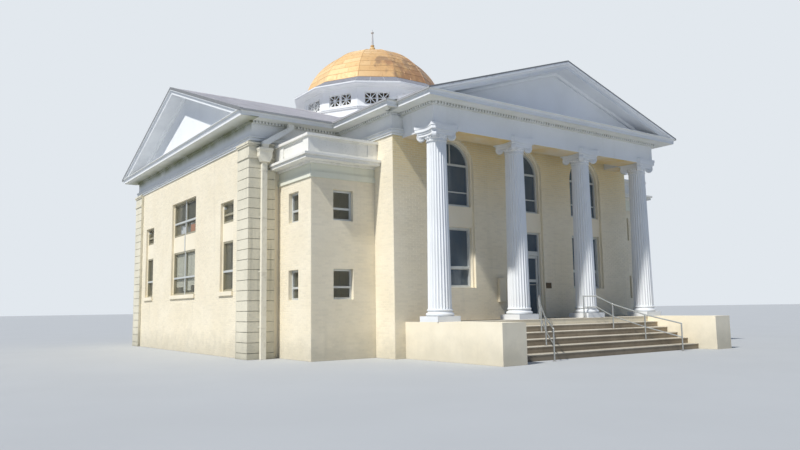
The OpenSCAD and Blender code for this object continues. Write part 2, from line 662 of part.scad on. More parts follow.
module drum_cornice() color(white) rotate(15) rotate_extrude($fn = 12) polygon([
  [drum_r - drum_t, drum_top], [drum_r + 60, drum_top], [drum_r + 60, drum_top + 25],
  [drum_r + drum_out - 45, drum_top + 25], [drum_r + drum_out - 45, drum_top + 50],
  [drum_r + drum_out, drum_top + 60], [drum_r + drum_out, drum_top + 105],
  [dome_r, dome_z], [drum_r - drum_t, dome_z]]);
dome_R = (dome_r * dome_r + dome_rise * dome_rise) / (2 * dome_rise);
crown_flat = 8;
dome_a0 = asin((dome_R - dome_rise) / dome_R);
// Heights of the arc are taken from the foot of the dome
function dome_arc(r, n) = [for (i = [0 : n]) let (a = dome_a0 + (90 - dome_a0) * i / n)
  [max(0, r * cos(a)), r * sin(a) - dome_R + dome_rise]];
module dome() color(gold) translate([0, 0, dome_z + dome_bed]) rotate(15) rotate_extrude($fn = 12)
  intersection() {
    polygon(concat(dome_arc(dome_R, 12), [for (i = [12 : -1 : 0]) dome_arc(dome_R - dome_t, 12)[i]]));
    square([dome_R, dome_rise - crown_flat]);
  }
module finial() color(gold) translate([0, 0, apex_z]) rotate_extrude($fn = 48) polygon(concat(
  [[0, 0.3 - crown_flat], [190, 0.3 - crown_flat], [190, 30], [110, 60]],
  [for (a = [-60 : 20 : 60]) [150 * cos(a) - 20, 190 + 150 * sin(a)]],
  [[62, 335], [88, 345], [88, 372], [50, 385], [34, finial_h - 200], [60, finial_h - 178],
    [66, finial_h - 145],
    [54, finial_h - 112], [22, finial_h - 92], [12, finial_h - 20], [0, finial_h]]));

// Windows
module frame_rect(x, w, z0, z1, e, rail = 0, mullion = false)
  translate([x, -e + reveal + frame_d, 0]) rotate([90, 0, 0]) linear_extrude(frame_d) {
    difference() {
      translate([-w / 2, z0]) square([w, z1 - z0]);
      translate([-w / 2 + frame_w, z0 + frame_w]) square([w - 2 * frame_w, z1 - z0 - 2 * frame_w]);
    }
    if (rail > 0) translate([-w / 2, z0 + rail - frame_w / 2]) square([w, frame_w]);
    if (mullion) translate([-frame_w / 2, z0]) square([frame_w, z1 - z0]);
  }
module pane_rect(x, w, z0, z1, e)
  box(x - w / 2, x + w / 2, -e + reveal + frame_d, -e + reveal + frame_d + glass_t, z0, z1);
module arch_shape(r, z0) {
  translate([0, spring_z]) circle(r, $fn = 64);
  translate([-r, z0]) square([2 * r, spring_z - z0]);
}
module arch_at(x, d0, d1)
  translate([x, -arm_end + d1, 0]) rotate([90, 0, 0]) linear_extrude(d1 - d0) children();
light_half = bay_half - margin;
module front_window_frames() color(metal) {
  for (x = [-column_pitch, 0, column_pitch]) arch_at(x, reveal, reveal + frame_d) {
    difference() {
      arch_shape(light_half - seat, arch_sill);
      arch_shape(light_half - frame_w, arch_sill + frame_w);
    }
    translate([-light_half + frame_w / 2, spring_z]) square([2 * light_half - frame_w, frame_w]);
    translate([-light_half + frame_w / 2, arch_sill + light_rail]) square([2 * light_half - frame_w, frame_w / 2]);
    translate([-frame_w / 4, spring_z]) square([frame_w / 2, light_half - frame_w / 2]);
  }
  for (x = [-column_pitch, column_pitch])
    frame_rect(x, 2 * light_half, front_sill, lower_head, arm_end, rail = 600);
}
module front_window_glass() color(glass_c) {
  for (x = [-column_pitch, 0, column_pitch])
    arch_at(x, reveal + frame_d, reveal + frame_d + glass_t) arch_shape(light_half - seat, arch_sill);
  for (x = [-column_pitch, column_pitch]) pane_rect(x, 2 * light_half, front_sill, lower_head, arm_end);
  box(-light_half + frame_w, light_half - frame_w, -leaf_y - glass_t / 2, -leaf_y + glass_t / 2,
    door_head + transom_h, lower_head - frame_w);
}
module side_set(e, nx) {
  translate([0, side_reveal - reveal, 0]) {
    for (w = wide_windows())
      frame_rect(w[0], w[1], w[2], w[3], e, rail = 0.4 * (w[3] - w[2]), mullion = true);
    for (w = narrow_windows(nx)) frame_rect(w[0], w[1], w[2], w[3], e, rail = 0.4 * (w[3] - w[2]));
  }
  box(-frame_w / 2, frame_w / 2, -e + recess - 25, -e + recess, side_head, upper_sill);
}
module side_panes(e, nx) translate([0, side_reveal - reveal, 0])
  for (w = concat(wide_windows(), narrow_windows(nx))) pane_rect(w[0], w[1], w[2], w[3], e);
corner_reveal = reveal - 60;
module corner_set() corners() for (r = corner_rows) {
  translate([0, -60, 0]) frame_rect(-corner_wx, corner_win_w, r[0], r[1], corner_y, rail = 350);
  rotate(-90) translate([0, -60, 0]) frame_rect(corner_wy, corner_slit_w, r[0], r[1], corner_x, rail = 350);
}
module corner_panes() corners() for (r = corner_rows) {
  translate([0, -60, 0]) pane_rect(-corner_wx, corner_win_w, r[0], r[1], corner_y);
  rotate(-90) translate([0, -60, 0]) pane_rect(corner_wy, corner_slit_w, r[0], r[1], corner_x);
}
module side_window_frames() color(metal) {
  for (a = [90, -90]) rotate(a) side_set(wing_end, narrow_x);
  rotate(180) side_set(arm_end, back_narrow_x);
  corner_set();
}
module side_window_glass() color(glass_c) {
  for (a = [90, -90]) rotate(a) side_panes(wing_end, narrow_x);
  rotate(180) side_panes(arm_end, back_narrow_x);
  corner_panes();
}

// Door. The leaves turn on pivots under and over their outer stiles.
module door_frame() color(metal) {
  y0 = leaf_y + 55; y1 = leaf_y - 55;
  both() box(-light_half, -light_half + frame_w, -y0, -y1, floor_z, lower_head);
  in = light_half - frame_w - 0.3;
  box(-in, in, -y0, -y1, lower_head - frame_w, lower_head);
  box(-in, in, -y0, -y1, door_head, door_head + transom_h);
  both() translate([-hinge_x, -leaf_y, 0]) {
    translate([0, 0, door_head - door_gap - 30]) cylinder(h = 30 + door_gap, r = pivot_r, $fn = 32);
    translate([0, 0, floor_z]) cylinder(h = sill_gap + 30, r = pivot_r, $fn = 32);
    translate([0, 0, floor_z]) cylinder(h = sill_gap - 0.3, r = 18, $fn = 32);
  }
}
leaf_h = door_head - door_gap - floor_z - sill_gap;
leaf_w = hinge_x - door_gap / 2;
module leaf() difference() {
  union() {
    cylinder(h = leaf_h, r = leaf_t / 2, $fn = 48);
    translate([0, -leaf_t / 2, 0]) cube([leaf_w, leaf_t, leaf_h]);
  }
  translate([stile_w - leaf_t / 2, -leaf_t, stile_w * 1.6])
    cube([leaf_w - 2 * stile_w + leaf_t / 2, 2 * leaf_t, leaf_h - 2.6 * stile_w]);
  translate([0, 0, -1]) cylinder(h = 36, r = pivot_r + 0.08, $fn = 32);
  translate([0, 0, leaf_h - 35]) cylinder(h = 36, r = pivot_r + 0.08, $fn = 32);
}
rail_z = 1160;
module leaf_full() {
  leaf();
  translate([stile_w - leaf_t / 2, -leaf_t / 2, rail_z])
    cube([leaf_w - 2 * stile_w + leaf_t / 2, leaf_t, stile_w]);
}
module leaf_glass() for (z = [[stile_w * 1.6, rail_z], [rail_z + stile_w, leaf_h - stile_w]])
  translate([stile_w - leaf_t / 2, -glass_t / 2, z[0]])
    cube([leaf_w - 2 * stile_w + leaf_t / 2, glass_t, z[1] - z[0]]);
module door_at() translate([-hinge_x, -leaf_y, floor_z + sill_gap]) children();
module door_leaf_left() color(metal) door_at() leaf_full();
module door_leaf_right() color(metal) mirror([1, 0, 0]) door_at() leaf_full();
module door_glass_left() color(glass_c) door_at() leaf_glass();
module door_glass_right() color(glass_c) mirror([1, 0, 0]) door_at() leaf_glass();

foundation();
podium();
cheek_walls();
entrance_steps();
handrails();
ground_floor();
upper_floor();
roof_deck();
front_walls();
front_wall_over_door();
wing_end_walls();
back_wall();
inner_walls();
corner_walls();
corner_parapets();
quoins();
frieze();
wing_cornices();
arm_cornices();
rainwater();
column_bases();
column_shafts();
column_capitals();
portico_beam();
portico_ceiling();
portico_cornice();
portico_roof();
gable_walls();
raking_cornices();
wing_roofs();
arm_roofs();
drum_wall();
drum_grilles();
drum_cornice();
dome();
finial();
front_window_frames();
front_window_glass();
side_window_frames();
side_window_glass();
door_frame();
door_leaf_left();
door_leaf_right();
door_glass_left();
door_glass_right();
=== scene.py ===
"""Looks of the town hall: brickwork, roofing, dome sheets, ironmongery, finishes, light and camera."""

import logging  # noqa: E402
import math  # noqa: E402
from dataclasses import dataclass, field, replace  # noqa: E402
from enum import Enum  # noqa: E402
from typing import Optional, Sequence  # noqa: E402

import bpy  # noqa: E402
import numpy as np  # noqa: E402
from mathutils import Matrix, Vector  # noqa: E402


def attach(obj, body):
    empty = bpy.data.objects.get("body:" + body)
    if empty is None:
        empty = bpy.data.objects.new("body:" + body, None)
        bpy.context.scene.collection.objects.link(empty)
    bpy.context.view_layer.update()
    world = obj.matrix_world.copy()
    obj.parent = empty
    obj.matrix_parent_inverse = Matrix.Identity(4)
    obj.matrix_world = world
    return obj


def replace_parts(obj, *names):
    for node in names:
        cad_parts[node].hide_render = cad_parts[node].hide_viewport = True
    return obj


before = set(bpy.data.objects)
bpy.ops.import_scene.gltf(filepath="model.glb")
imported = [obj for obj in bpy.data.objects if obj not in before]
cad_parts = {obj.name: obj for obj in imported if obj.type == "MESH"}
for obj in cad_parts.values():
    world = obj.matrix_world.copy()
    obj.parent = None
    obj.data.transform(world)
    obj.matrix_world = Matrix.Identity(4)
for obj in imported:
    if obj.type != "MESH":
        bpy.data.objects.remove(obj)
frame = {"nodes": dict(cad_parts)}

LOG = logging.getLogger("town_hall")
HALL = "building"
Array = np.ndarray
Socket = bpy.types.NodeSocket
Tree = bpy.types.NodeTree
# Red, green and blue of a display colour, from 0 to 255
Colour = tuple[int, int, int]
# The grey of masonry dirt is also the colour of the painted shade in corners
CREAM, CREAM_TINT, GREY_DIRT_AND_SHADE = (246, 236, 212), (241, 230, 204), (150, 146, 130)
WHITE, WHITE_TINT = (239, 241, 242), (233, 235, 235)
RUST = (122, 84, 52)
# Distance of each wall face from the centre of the dome, in metres
WING_FACE, ARM_FACE, ARM_SIDE, BLOCK_FRONT, BLOCK_SIDE = 8.28, 9.0, 5.25, 8.04, 7.36
# Foot of the roofs, and how far they stand past the wall faces
EAVES, OVERHANG = 7.170, 0.604
# Sills and heads of the wing windows: the lower row, the wide upper ones and the narrow upper ones
LOWER_ROW, UPPER_WIDE, UPPER_NARROW = (2.0, 3.58), (4.16, 5.42), (4.16, 4.82)
# Distance of the narrow windows from the middle of a wing end and of the back
WING_SLIM, BACK_SLIM = 4.2, 3.5
# Corners of a box in each of its faces, where 0 to 3 are the foot and 4 to 7 the top
BOX_FACES = np.array([[4, 5, 6, 7], [3, 2, 1, 0], [0, 1, 5, 4], [1, 2, 6, 5], [2, 3, 7, 6], [3, 0, 4, 7]])


def linear(colour: Colour) -> tuple[float, ...]:
    """The linear colour that a socket takes for a display colour, by the usual display curve."""
    values = np.array(colour, float) / 255.0
    return tuple(np.where(values <= 0.04045, values / 12.92, ((values + 0.055) / 1.055) ** 2.4).tolist())


def feed(tree: Tree, socket: Socket, value: object) -> None:
    """Give an input a link or a value.

    Args:
        tree: The tree of its node.
        socket: The input.
        value: An output socket, a number, a vector, or a display colour where the input is a colour.
    """
    if isinstance(value, Socket):
        tree.links.new(value, socket)
    else:
        socket.default_value = (*linear(value), 1.0) if socket.type == "RGBA" else value


def add_node(
    tree: Tree, kind: str, inputs: dict, output: object = 0, **settings: object
) -> Optional[Socket]:
    """Add one shader node.

    Args:
        tree: Where it goes.
        kind: Its type, without ShaderNode in front.
        inputs: Values by name or number, as feed takes them.
        output: Name or number of the output that is wanted.
        settings: Properties, set before the inputs.

    Returns:
        That output, or None for a node without outputs.
    """
    node = tree.nodes.new("ShaderNode" + kind)
    for name, value in settings.items():
        setattr(node, name, value)
    for name, value in inputs.items():
        feed(tree, node.inputs[name], value)
    return node.outputs[output] if len(node.outputs) else None


class Side(Enum):
    """The four sides of the hall, each with the direction of its run and its outward normal."""

    FRONT = ((1.0, 0.0, 0.0), (0.0, -1.0, 0.0))
    RIGHT = ((0.0, 1.0, 0.0), (1.0, 0.0, 0.0))
    BACK = ((-1.0, 0.0, 0.0), (0.0, 1.0, 0.0))
    LEFT = ((0.0, -1.0, 0.0), (-1.0, 0.0, 0.0))

    @property
    def run(self) -> Array:
        """Direction along the wall, to the right of someone who faces it from outside."""
        return np.array(self.value[0])

    @property
    def out(self) -> Array:
        """Outward normal."""
        return np.array(self.value[1])

    def lift(self, points: Array, face: object) -> Array:
        """Place wall coordinates in the building.

        Args:
            points: Array whose last axis holds the run u and the height z.
            face: Distance of the wall face from the centre of the dome, a number or an array that fits.

        Returns:
            Points u times the run, plus z upwards, plus the face distance along the normal.
        """
        return points[..., :1] * self.run + points[..., 1:2] * np.array([0.0, 0.0, 1.0]) + face * self.out


@dataclass(frozen=True)
class Roof:
    """A gabled roof: reach of its gable end, half width at the eaves, and pitch as rise over run."""

    reach: float
    half: float
    pitch: float

    def gable(self, side: Side) -> Array:
        """Foot, ridge and foot of the gable that faces a side."""
        outline = [[-self.half, EAVES], [0, EAVES + self.half * self.pitch], [self.half, EAVES]]
        return side.lift(np.array(outline), self.reach)


WING = Roof(8.884, 6.604, 2.4 / 6.604)
ARM = Roof(9.604, 5.854, 0.3236)
PORCH = Roof(11.074, 5.494, 0.3236)


class Shader:
    """Adds the nodes of one finish to a new material, on Object coordinates."""

    def __init__(self, name: str) -> None:
        """Start a material with a Principled shader.

        Args:
            name: Name of the material.
        """
        self.material = bpy.data.materials.new(name)
        self.material.use_nodes = True
        self.tree = self.material.node_tree
        self.tree.nodes.clear()
        self.body = self.tree.nodes.new("ShaderNodeBsdfPrincipled")
        self.node("OutputMaterial", {0: self.body.outputs[0]})
        self.place = self.node("TexCoord", {}, "Object")

    def node(self, kind: str, inputs: dict, output: object = 0, **settings: object) -> Optional[Socket]:
        """Add one node to this finish, as add_node does."""
        return add_node(self.tree, kind, inputs, output, **settings)

    def noise(self, scale: float, detail: float = 3.0, stretch: Sequence[float] = (1, 1, 1)) -> Socket:
        """Fractal noise.

        Args:
            scale: Cells to the metre.
            detail: Octaves.
            stretch: Extra scale on each axis.

        Returns:
            The noise value, about 0.3 to 0.7.
        """
        place = self.node("Mapping", {"Vector": self.place, "Scale": stretch})
        inputs = {"Vector": place, "Scale": scale, "Detail": detail, "Roughness": 0.55}
        return self.node("TexNoise", inputs, "Fac")

    def steps(self, value: Socket, low: float, high: float, to: Sequence[float] = (0, 1)) -> Socket:
        """Map a value from low..high to the range given by to, clamped and smoothed."""
        inputs = {"Value": value, "From Min": low, "From Max": high, "To Min": to[0], "To Max": to[1]}
        return self.node("MapRange", inputs, "Result", interpolation_type="SMOOTHSTEP")

    def math(self, kind: str, first: object, second: object = 0.0) -> Socket:
        """One Math node of that kind, on numbers or sockets."""
        return self.node("Math", {0: first, 1: second}, operation=kind)

    def times(self, *parts: object) -> Socket:
        """Product of numbers and sockets."""
        return self.math("MULTIPLY", parts[0] if len(parts) == 2 else self.times(*parts[:-1]), parts[-1])

    def plus(self, first: object, second: object) -> Socket:
        """Sum of two numbers or sockets."""
        return self.math("ADD", first, second)

    def over(self, first: object, second: object) -> Socket:
        """One where the first is greater than the second, and nought elsewhere."""
        return self.math("GREATER_THAN", first, second)

    def blend(self, share: object, first: object, second: object) -> Socket:
        """Mix two colours by the share of the second."""
        return self.node("Mix", {"Factor": share, 6: first, 7: second}, 2, data_type="RGBA")

    def coats(self, colour: object, *coats: tuple[object, object]) -> Socket:
        """Lay colours over a first one.

        Args:
            colour: The first colour.
            coats: The share and the colour of each coat.

        Returns:
            The colour with every coat on it.
        """
        for share, coat in coats:
            colour = self.blend(share, colour, coat)
        return colour

    def axis(self, name: str) -> Socket:
        """X, Y or Z of the object coordinates, in metres."""
        return self.node("SeparateXYZ", {0: self.place}, name)

    def upward(self) -> Socket:
        """Upward part of the surface normal: 1 on a top face and 0 on a wall."""
        return self.node("SeparateXYZ", {0: self.node("NewGeometry", {}, "True Normal")}, "Z")

    def near(self, centre: Sequence[float], inner: float, outer: float, share: float) -> Socket:
        """Closeness to a point.

        Args:
            centre: The point, in metres.
            inner: Distance within which the value is whole.
            outer: Distance beyond which it is nothing.
            share: The whole value.

        Returns:
            The share, fading from the inner to the outer distance.
        """
        away = self.node("VectorMath", {0: self.place, 1: centre}, "Value", operation="DISTANCE")
        return self.steps(away, outer, inner, (0, share))

    def tone(self) -> Socket:
        """The random tone of each brick, tile or sheet, from 0 to 1."""
        return self.node("Attribute", {}, "Fac", attribute_name="tone")

    def corners(self, reach: float) -> Socket:
        """Openness of the surface within a reach, by ambient occlusion: 1 in the open and less in corners,
        where masonry lays painted shade and metal its rust.
        """
        return self.node("AmbientOcclusion", {"Distance": reach}, "AO", samples=6)

    def relief(self, height: Socket, depth: float) -> None:
        """Bump the shader by a height from 0 to 1, of that depth in metres."""
        self.set(Normal=self.node("Bump", {"Distance": depth, "Height": height}))

    def set(self, **values: object) -> None:
        """Fill sockets of the Principled shader, with underscores for spaces."""
        for name, value in values.items():
            feed(self.tree, self.body.inputs[name.replace("_", " ")], value)


@dataclass(frozen=True)
class Masonry:
    """Painted or bare masonry with mottling, rain streaks, painted shade in corners and a grain, and where
    asked painted light and shade on undersides and up the porch walls.
    """

    name: str
    base: Colour = CREAM
    tint: Colour = CREAM_TINT
    # Colour of dirt, streaks and splash, and also of the painted shade in corners
    dirt_and_shade: Colour = GREY_DIRT_AND_SHADE
    streak: float = 0.10
    # Share of painted shade in corners and recesses, found by ambient occlusion
    corner_shade: float = 0.30
    reach: float = 0.10
    splash: float = 0.35
    speck: float = 0.04
    tone: float = 0.0
    grain: float = 90.0
    depth: float = 0.0007
    roughness: float = 0.82
    top: Optional[Colour] = None
    band: Optional[Colour] = None
    band_z: tuple[float, float] = (0.0, 0.0)
    # Colour of downward faces: painted shade on white render and cornices, warm painted bounce light on the
    # porch beam
    under: Optional[Colour] = None
    painted_underside_share: float = 0.6
    # Warm painted bounce light that grows up the porch walls
    glow: Optional[Colour] = None
    # Olive tint up the wing-end frieze under the cornice
    frieze_olive: Optional[Colour] = None

    def make(self) -> bpy.types.Material:
        """Build the material.

        Returns:
            Base and tint mixed by slow noise, darkened by streaks, by painted shade in corners and by splash
            near the ground; where asked, painted shade on undersides, warm painted bounce light on the porch
            beam's undersides and up the porch walls, and an olive tint under the wing-end cornices, in
            patches.
        """
        sh = Shader(self.name)
        height = sh.axis("Z")
        coats = [(sh.steps(sh.noise(0.9, 4), 0.3, 0.7), self.tint)]
        if self.band is not None:
            low, high = self.band_z
            coats.append((sh.times(sh.over(height, low), sh.over(high, height)), self.band))
        if self.top is not None:
            coats.append((sh.steps(sh.upward(), 0.6, 0.8), self.top))
        # Warm painted bounce light, rising up the wall
        if self.glow is not None:
            coats.append((sh.steps(height, 4.0, 6.5, (0, 0.8)), self.glow))
        # Olive tint up the frieze under a wing-end cornice
        if self.frieze_olive is not None:
            coats.append((self.frieze_olive_share(sh), self.frieze_olive))
        # Painted shade on downward faces, warm painted bounce light on the porch beam, in patches
        if self.under is not None:
            below = sh.steps(sh.upward(), -0.4, -0.9, (0, self.painted_underside_share))
            coats.append((sh.times(below, sh.steps(sh.noise(0.8, 4), 0.35, 0.65, (0.55, 1))), self.under))
        if self.tone:
            coats.append((sh.times(sh.tone(), self.tone), self.dirt_and_shade))
        fine = sh.steps(sh.noise(self.grain * 0.2, 3), 0.52, 0.74, (0, self.speck))
        rain = sh.steps(sh.noise(2.2, 4, (1.5, 1.5, 0.10)), 0.56, 0.80, (0, self.streak))
        # Painted shade in corners and recesses, by ambient occlusion, in patches
        corner = sh.steps(sh.corners(self.reach), 0.15, 0.85, (self.corner_shade, 0))
        patchy_corner_shade = sh.times(corner, sh.steps(sh.noise(3.5, 3), 0.3, 0.7, (0.35, 1)))
        foot = sh.plus(height, sh.times(sh.noise(2.2, 3), 0.9))
        low_dirt = sh.steps(foot, 0.45, 1.35, (self.splash, 0))
        coats += [(share, self.dirt_and_shade) for share in (fine, rain, patchy_corner_shade, low_dirt)]
        sh.relief(sh.plus(sh.noise(self.grain, 4), sh.times(sh.noise(self.grain * 0.16, 3), 1.5)), self.depth)
        sh.set(Base_Color=sh.coats(self.base, *coats), Roughness=self.roughness, Specular_IOR_Level=0.25)
        return sh.material

    @staticmethod
    def frieze_olive_share(sh: Shader) -> Socket:
        """Olive tint under the cornice of a wing end.

        Args:
            sh: The shader of the finish.

        Returns:
            A share that grows up the frieze and fades outward along the soffit, in patches.
        """
        across, height = sh.math("ABSOLUTE", sh.axis("X")), sh.axis("Z")
        share = sh.times(sh.steps(height, 6.64, 6.97, (0, 0.9)), sh.steps(across, 8.78, 8.34))
        here = sh.times(sh.over(across, 8.27), sh.over(7.02, height))
        return sh.times(share, here, sh.steps(sh.noise(1.2, 4), 0.3, 0.6, (0.55, 1)))


@dataclass(frozen=True)
class Metal:
    """Bare or painted metal or board with slight wear and a brushed or rolled grain."""

    name: str
    base: Colour
    worn: Colour
    metallic: float = 0.0
    roughness: float = 0.4
    wear: float = 0.35
    rust: float = 0.0
    brush: Sequence[float] = (30, 30, 1)
    high: Optional[Colour] = None
    high_z: float = 0.0
    side: Optional[Colour] = None
    # Darker outer members of the side frames: painted shade of the reveals
    outer: Optional[Colour] = None

    def make(self) -> bpy.types.Material:
        """Build the material.

        Returns:
            Base worn by noise patches, with rust in corners where that is asked for.
        """
        sh = Shader(self.name)
        base = self.base
        # Painted shade of the reveals on the outer frame members
        if self.outer is not None:
            base = sh.blend(self.outer_members(sh), base, self.outer)
        if self.high is not None:
            base = sh.blend(sh.over(sh.axis("Z"), self.high_z), base, self.high)
        if self.side is not None:
            base = sh.blend(sh.steps(sh.upward(), 0.3, 0.6), self.side, base)
        brushed = sh.noise(14, 3, self.brush)
        coats = [(sh.steps(sh.noise(7, 4), 0.5, 0.72, (0, self.wear)), self.worn)]
        coats.append((sh.steps(brushed, 0.4, 0.7, (0, 0.25)), self.worn))
        if self.rust:
            coats.append((sh.steps(sh.corners(0.05), 0.3, 0.9, (self.rust, 0)), RUST))
        sh.relief(brushed, 0.0004)
        rough = sh.steps(sh.noise(9, 3), 0.3, 0.7, (self.roughness * 0.8, min(1.0, self.roughness * 1.3)))
        sh.set(Base_Color=sh.coats(base, *coats), Metallic=self.metallic, Roughness=rough)
        return sh.material

    @staticmethod
    def outer_members(sh: Shader) -> Socket:
        """Tell the outer members of the wing and back windows from their mullions and transoms.

        Args:
            sh: The shader of the finish.

        Returns:
            One on jambs, heads and sills beyond the corner blocks, and nought elsewhere.
        """
        x, y = sh.math("ABSOLUTE", sh.axis("X")), sh.math("ABSOLUTE", sh.axis("Y"))
        half_bar, past_blocks = 0.036, 8.1
        beyond = sh.over(sh.math("MAXIMUM", x, sh.axis("Y")), past_blocks)
        share = sh.times(beyond, sh.over(sh.math("MINIMUM", x, y), half_bar))
        for transom in (2.632, 4.664):
            away = sh.math("ABSOLUTE", sh.math("SUBTRACT", sh.axis("Z"), transom))
            share = sh.times(share, sh.over(away, half_bar))
        return share


@dataclass(frozen=True)
class Shingle:
    """Mineral felt tiles in light grey, with a tone for each tile and fine granules."""

    name: str = "felt_shingle"
    base: Colour = (238, 235, 234)
    dark: Colour = (208, 205, 205)
    stain: Colour = (176, 168, 162)

    def make(self) -> bpy.types.Material:
        """Build the material.

        Returns:
            Base and dark mixed by the tile's tone, with granules and weather stains down the slope.
        """
        sh = Shader(self.name)
        granules = sh.steps(sh.noise(220, 2), 0.4, 0.7, (0, 0.35))
        stains = sh.steps(sh.noise(1.1, 4), 0.54, 0.78, (0, 0.35))
        tiles = (sh.times(sh.tone(), 0.6), self.dark)
        sh.relief(sh.noise(260, 2), 0.0015)
        colour = sh.coats(self.base, tiles, (granules, self.dark), (stains, self.stain))
        sh.set(Base_Color=colour, Roughness=0.92, Specular_IOR_Level=0.2)
        return sh.material


@dataclass(frozen=True)
class GoldSheet:
    """Gold painted sheet weathered to brown towards the front right, with a smooth tan on that side, away
    from the sun, that is partly painted shade.
    """

    name: str = "gold_sheet"
    base: Colour = (228, 188, 130)
    pale: Colour = (238, 202, 148)
    # Tan of weathering, also laid smoothly on the side away from the sun as painted shade
    tan_and_shade: Colour = (194, 150, 100)
    rust: Colour = (168, 120, 82)
    brown: Colour = (138, 110, 86)
    # Turned sheet edges: dirt with painted shade of the laps
    seam: Colour = (170, 132, 88)
    stain: tuple[float, float, float] = (-1.00, -2.05, 11.50)

    def make(self) -> bpy.types.Material:
        """Build the material.

        Returns:
            Gold with a tone for each sheet, dark turned edges (tone 1) of dirt and painted lap shade, brown
            patches and runs that grow towards the right of the front, and a smooth tan there that is partly
            painted shade.
        """
        sh = Shader(self.name)
        tone = sh.tone()
        side = sh.plus(sh.times(sh.axis("X"), 0.64), sh.times(sh.axis("Y"), -0.77))
        worn = sh.plus(sh.steps(side, 0.5, 2.3, (-0.16, 0.14)), sh.near(self.stain, 0.10, 0.75, 0.25))
        foot = sh.steps(sh.axis("Z"), 10.6, 11.3, (0.10, 0.0))
        runs = sh.plus(sh.noise(2.1, 6, (1.7, 1.7, 0.45)), worn)
        patch = sh.plus(sh.plus(sh.noise(1.3, 5), worn), foot)
        specks = sh.plus(sh.noise(26, 4), sh.times(worn, 0.4))
        colour = sh.coats(
            self.base,
            (sh.steps(tone, 0.0, 0.8), self.pale),
            (sh.steps(sh.noise(4, 5), 0.48, 0.76, (0, 0.5)), self.tan_and_shade),
            # Smooth tan towards the side away from the sun: weathering and painted shade
            (sh.steps(side, -0.4, 1.3, (0, 0.55)), self.tan_and_shade),
            (sh.steps(runs, 0.50, 0.68, (0, 0.72)), self.brown),
            (sh.steps(patch, 0.54, 0.74, (0, 0.6)), self.rust),
            (sh.steps(specks, 0.60, 0.72, (0, 0.5)), self.brown),
            # Turned edges darkened: dirt and painted shade of the laps
            (sh.steps(tone, 0.9, 0.97, (0, 0.45)), self.seam),
        )
        sh.relief(sh.noise(6, 3), 0.006)
        sh.set(Base_Color=colour, Metallic=0.12, Roughness=sh.steps(sh.noise(8, 4), 0.35, 0.7, (0.42, 0.7)))
        return sh.material


@dataclass(frozen=True)
class WindowGlass:
    """Window glass with a thin film of dust, partly see-through."""

    name: str
    base: Colour
    cover: float
    dust: Colour = (134, 138, 134)

    def make(self) -> bpy.types.Material:
        """Build the material.

        Returns:
            Smooth glass, with dust by noise in the roughness and the colour.
        """
        sh = Shader(self.name)
        film = sh.steps(sh.noise(1.4, 4, (1, 1, 0.5)), 0.40, 0.75, (0, 0.35))
        rough = sh.steps(sh.noise(5, 3), 0.3, 0.7, (0.03, 0.12))
        sh.set(Base_Color=sh.blend(film, self.base, self.dust), Roughness=rough, Alpha=self.cover, IOR=1.5)
        sh.relief(sh.noise(0.9, 2), 0.004)
        return sh.material


